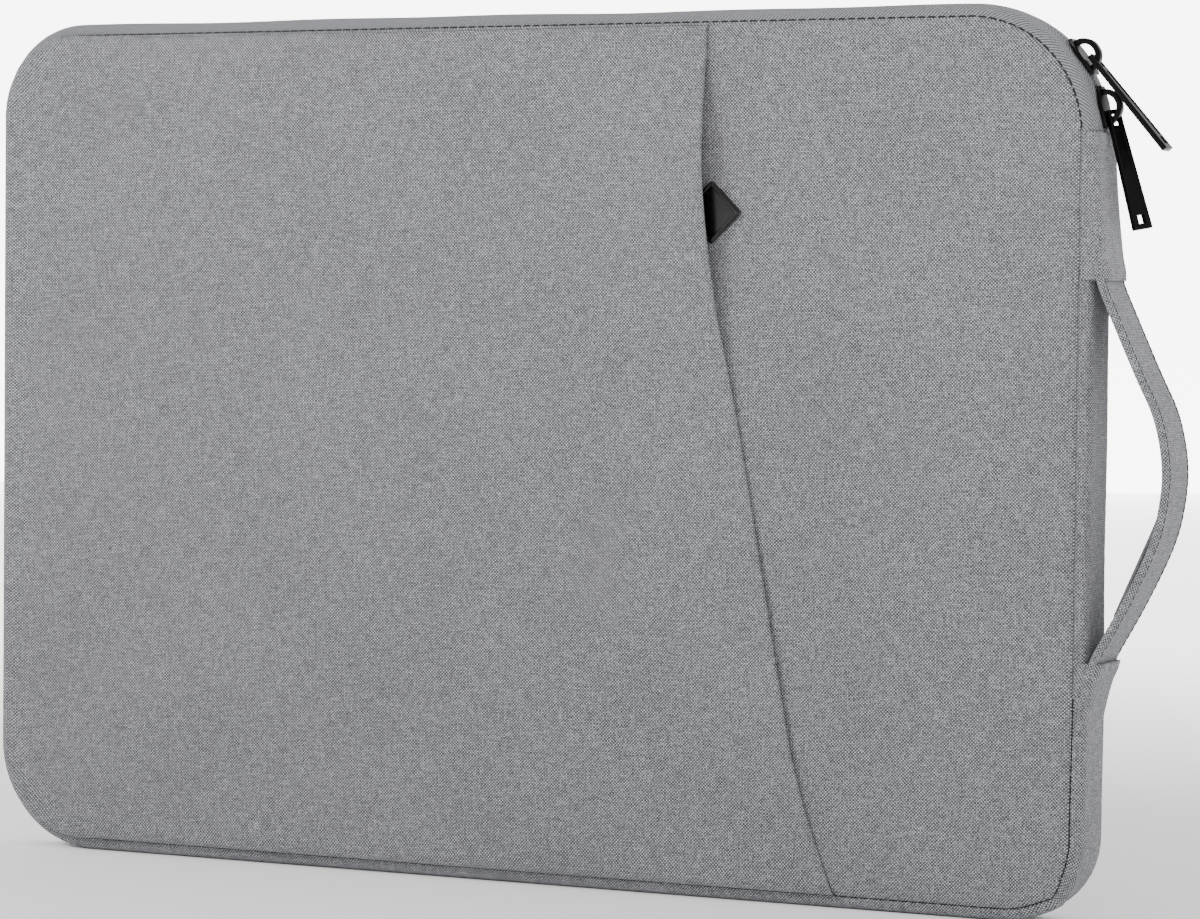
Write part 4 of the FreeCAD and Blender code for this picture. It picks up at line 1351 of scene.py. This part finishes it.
@dataclass
class ZipMetal:
    """Sliders, crowns and pulls: the construction's own shapes with soft enamelled edges.

    Attributes:
        edge: Width of the rounding on every edge.
        coat: Thickness of the enamel.
        hang: Degrees by which the lower pull hangs turned further to the front.
    """

    edge: float = 0.3 * MM
    coat: float = 0.16 * MM
    hang: float = 18.0

    def polished(self, node: str) -> bpy.types.Object:
        """A copy of a node with merged vertices, flat faces joined and its edges rounded.

        Every vertex first moves out along its normal by the thickness of the enamel.

        Args:
            node: The node to copy.

        Returns:
            The new object.
        """
        obj = bpy.data.objects.new(node + "_enamel", cad_node(node).data.copy())
        bpy.context.scene.collection.objects.link(obj)
        work = bmesh.new()
        work.from_mesh(obj.data)
        bmesh.ops.remove_doubles(work, verts=work.verts, dist=1e-6)
        bmesh.ops.dissolve_limit(work, angle_limit=math.radians(2), verts=work.verts,
                                 edges=work.edges)
        bmesh.ops.recalc_face_normals(work, faces=work.faces)
        work.normal_update()
        grown = self.coat * (2.0 if "crown" in node else 1.0)
        moves = [(vertex, vertex.normal * grown) for vertex in work.verts]
        for vertex, move in moves:
            vertex.co += move
        work.to_mesh(obj.data)
        work.free()
        rounding = obj.modifiers.new("edges", "BEVEL")
        rounding.width = self.edge
        rounding.segments = 3
        rounding.limit_method = "ANGLE"
        rounding.angle_limit = math.radians(35)
        rounding.harden_normals = True
        obj.data.shade_smooth()
        return obj

    def turn(self, pull: bpy.types.Object) -> None:
        """Turn a pull about its own length, through its pin."""
        joint = next(j for j in frame["joints"] if j["name"] == "lower_pull_lift")
        pin = Vector(joint["pos_m"])
        corners = [Vector(corner) for corner in pull.bound_box]
        along = (sum(corners, Vector()) / len(corners) - pin).normalized()
        spin = Matrix.Rotation(math.radians(self.hang), 4, along)
        pull.data.transform(Matrix.Translation(pin) @ spin @ Matrix.Translation(-pin))

    def build(self, wardrobe: Wardrobe) -> None:
        """Make and dress every piece."""
        for height in ("lower", "upper"):
            for part, body in (("slider_plates", "slider"), ("slider_crown", "slider"),
                               ("pull_tab", "pull")):
                node = f"{height}_{part}"
                obj = self.polished(node)
                if node == "lower_pull_tab":
                    self.turn(obj)
                finish(obj, wardrobe, Finish.METAL, "black_zip_metal", node, f"{height}_{body}")


# ---- what stays from the construction -----------------------------------------------------------

HIDDEN_NODES = {
    "front_lining": Finish.LINING,
    "back_lining": Finish.LINING,
    "gusset_lining": Finish.LINING,
    "pocket_lining": Finish.LINING,
    "pocket_hem_tape": Finish.BINDING,
    "front_foam": Finish.FOAM,
    "back_foam": Finish.FOAM,
    "gusset_foam": Finish.FOAM,
    "front_seam_binding": Finish.BINDING,
    "back_seam_binding": Finish.BINDING,
    "front_zip_coil": Finish.COIL,
    "back_zip_coil": Finish.COIL,
    "zip_end_stops": Finish.COIL,
    "handle_core": Finish.WEB,
}


def dress_hidden(wardrobe: Wardrobe) -> None:
    """Give the plies and fittings inside their finishes."""
    for node, choice in HIDDEN_NODES.items():
        wardrobe.dress_node(cad_node(node), choice)
        LOG.info("dressed %s", node)


# ---- studio -------------------------------------------------------------------------------------

# Corners of a flat square of side 2
SQUARE = np.array([[-1.0, -1.0, 0.0], [1.0, -1.0, 0.0], [1.0, 1.0, 0.0], [-1.0, 1.0, 0.0]])


@dataclass
class Studio:
    """A pale floor, a glowing backdrop, soft lights and the camera.

    Attributes:
        lens: Focal length in millimetres on a 36 mm wide film.
        place: Where the camera stands, metres.
        yaw: Degrees that the camera stands round from the front towards the handle.
        pitch: Degrees that it looks down.
        roll: Degrees that the picture leans.
        white: Brightness of the floor.
        floor_half: Half the floor's side, metres.
        floor_glow: Glow of the floor far from the sleeve.
        backdrop_away: Distance from the camera to the backdrop, metres.
        backdrop_glow: Its glow.
        surround: Strength of the plain white surround.
    """

    lens: float = 120.0
    place: tuple[float, float, float] = (0.593, -1.2059, 0.1948)
    yaw: float = 25.09
    pitch: float = 2.26
    roll: float = 0.59
    white: float = 0.93
    floor_half: float = 12.0
    floor_glow: float = 1.9
    backdrop_away: float = 4.2
    backdrop_glow: float = 5.0
    surround: float = 1.05

    def camera(self) -> None:
        """Stand the camera where the angles say."""
        yaw, pitch, roll = (math.radians(a) for a in (self.yaw, self.pitch, self.roll))
        level = math.cos(pitch)
        back = Vector((math.sin(yaw) * level, -math.cos(yaw) * level, math.sin(pitch)))
        right = Vector((math.cos(yaw), math.sin(yaw), 0.0))
        up = back.cross(right)
        leaned = right * math.cos(roll) + up * math.sin(roll)
        stood = up * math.cos(roll) - right * math.sin(roll)
        data = bpy.data.cameras.new("camera")
        data.lens = self.lens
        data.sensor_width = 36.0
        data.clip_end = 50.0
        obj = bpy.data.objects.new("camera", data)
        turn = Matrix((leaned, stood, back)).transposed().to_4x4()
        obj.matrix_world = Matrix.Translation(self.place) @ turn
        bpy.context.scene.collection.objects.link(obj)
        bpy.context.scene.camera = obj

    def floor(self) -> None:
        """A pale flat floor that glows more with distance, so that it fades into the backdrop."""
        sheet = NodeSheet("studio_white")
        place = sheet.node("ShaderNodeTexCoord").outputs["Object"]
        cloud = sheet.noise(place, 3.0)
        away = sheet.node("ShaderNodeVectorMath", operation="LENGTH")
        sheet.wire(place, away.inputs[0])
        glow_share = sheet.ramp(away.outputs["Value"], 0.3, 1.1)
        sheet.set(Base_Color=sheet.mix(cloud, grey(self.white, 0.0), grey(self.white + 0.02, 0.0)),
                  Roughness=0.9, Emission_Color=(1.0, 1.0, 1.0, 1.0),
                  Emission_Strength=sheet.math("MULTIPLY", glow_share, self.floor_glow))
        self.panel("floor", SQUARE * self.floor_half - np.array([0, 0, 0.0002]), sheet)

    def backdrop(self) -> None:
        """A glowing white panel behind the sleeve, square to the camera."""
        sheet = NodeSheet("backdrop_white")
        sheet.set(Base_Color=(0.9, 0.9, 0.9, 1.0), Emission_Color=(1.0, 1.0, 1.0, 1.0),
                  Emission_Strength=self.backdrop_glow)
        camera = bpy.context.scene.camera.matrix_world
        turn = np.array(camera.to_3x3())
        middle = np.array(camera.translation) - turn[:, 2] * self.backdrop_away
        self.panel("backdrop", (SQUARE * [0.9, 0.7, 1.0]) @ turn.T + middle, sheet)

    def panel(self, name: str, corners: Array, sheet: NodeSheet) -> None:
        """One flat piece of the studio; its glow is seen but isn't sampled as a lamp."""
        sheet.material.cycles.emission_sampling = "NONE"
        obj = new_mesh(name, corners, np.array([[0, 1, 2, 3]]))
        obj.data.materials.append(sheet.material)
        obj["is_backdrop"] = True

    def light(self, name: str, place: tuple[float, float, float], aim: tuple[float, float, float],
              size: float, power: float) -> None:
        """One soft square light that faces a point."""
        data = bpy.data.lights.new(name, "AREA")
        data.shape = "SQUARE"
        data.size = size
        data.energy = power
        obj = bpy.data.objects.new(name, data)
        way = Vector(aim) - Vector(place)
        turn = way.to_track_quat("-Z", "Y").to_matrix().to_4x4()
        obj.matrix_world = Matrix.Translation(place) @ turn
        bpy.context.scene.collection.objects.link(obj)

    def world(self) -> None:
        """A plain white surround."""
        world = bpy.data.worlds.new("surround")
        world.use_nodes = True
        light = world.node_tree.nodes["Background"]
        light.inputs["Color"].default_value = (1, 1, 1, 1)
        light.inputs["Strength"].default_value = self.surround
        bpy.context.scene.world = world

    def build(self) -> None:
        """Set everything up."""
        self.camera()
        self.backdrop()
        self.floor()
        self.world()
        aim = (0.0, 0.0, 0.15)
        self.light("key", (-1.6, -2.0, 1.9), aim, 0.9, 66.0)
        self.light("fill", (2.2, -1.2, 0.9), aim, 1.4, 18.0)
        self.light("rim", (1.2, 2.0, 1.6), aim, 1.2, 22.0)


def main() -> None:
    """Build the sleeve from the frame's own boxes, dress it and light it."""
    logging.basicConfig(level=logging.INFO, format="%(message)s")
    panel_low, panel_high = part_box("front_panel")
    band_low, band_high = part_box("gusset_band")
    tape_low, tape_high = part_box("front_zip_tape")
    proud = band_high[0] - panel_high[0]
    outline = Outline(
        half=panel_high[0],
        low=panel_low[2],
        high=panel_high[2],
        radius=37.8 * MM,
        heel=22.8 * MM,
        far_top=27.8 * MM,
        far_foot=32.8 * MM,
        top_left=tape_low[2],
        top_right=band_high[2],
    )
    seam_y = band_high[1]
    wardrobe = Wardrobe()
    Studio().build()
    faces = PaddedFaces(outline=outline, seam_y=seam_y)
    faces.build(wardrobe)
    Bands(outline=outline, seam_y=seam_y, proud=proud, heel=faces.heel_shift).build(wardrobe)
    HandleSet(side_x=band_high[0], seam_x=panel_high[0], seam_y=seam_y).build(wardrobe)
    ZipMetal().build(wardrobe)
    dress_hidden(wardrobe)
    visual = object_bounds()
    plain = [[[float(v) for v in corner] for corner in both] for both in (CAD_BOUNDS, visual)]


if __name__ == "__main__":
    main()
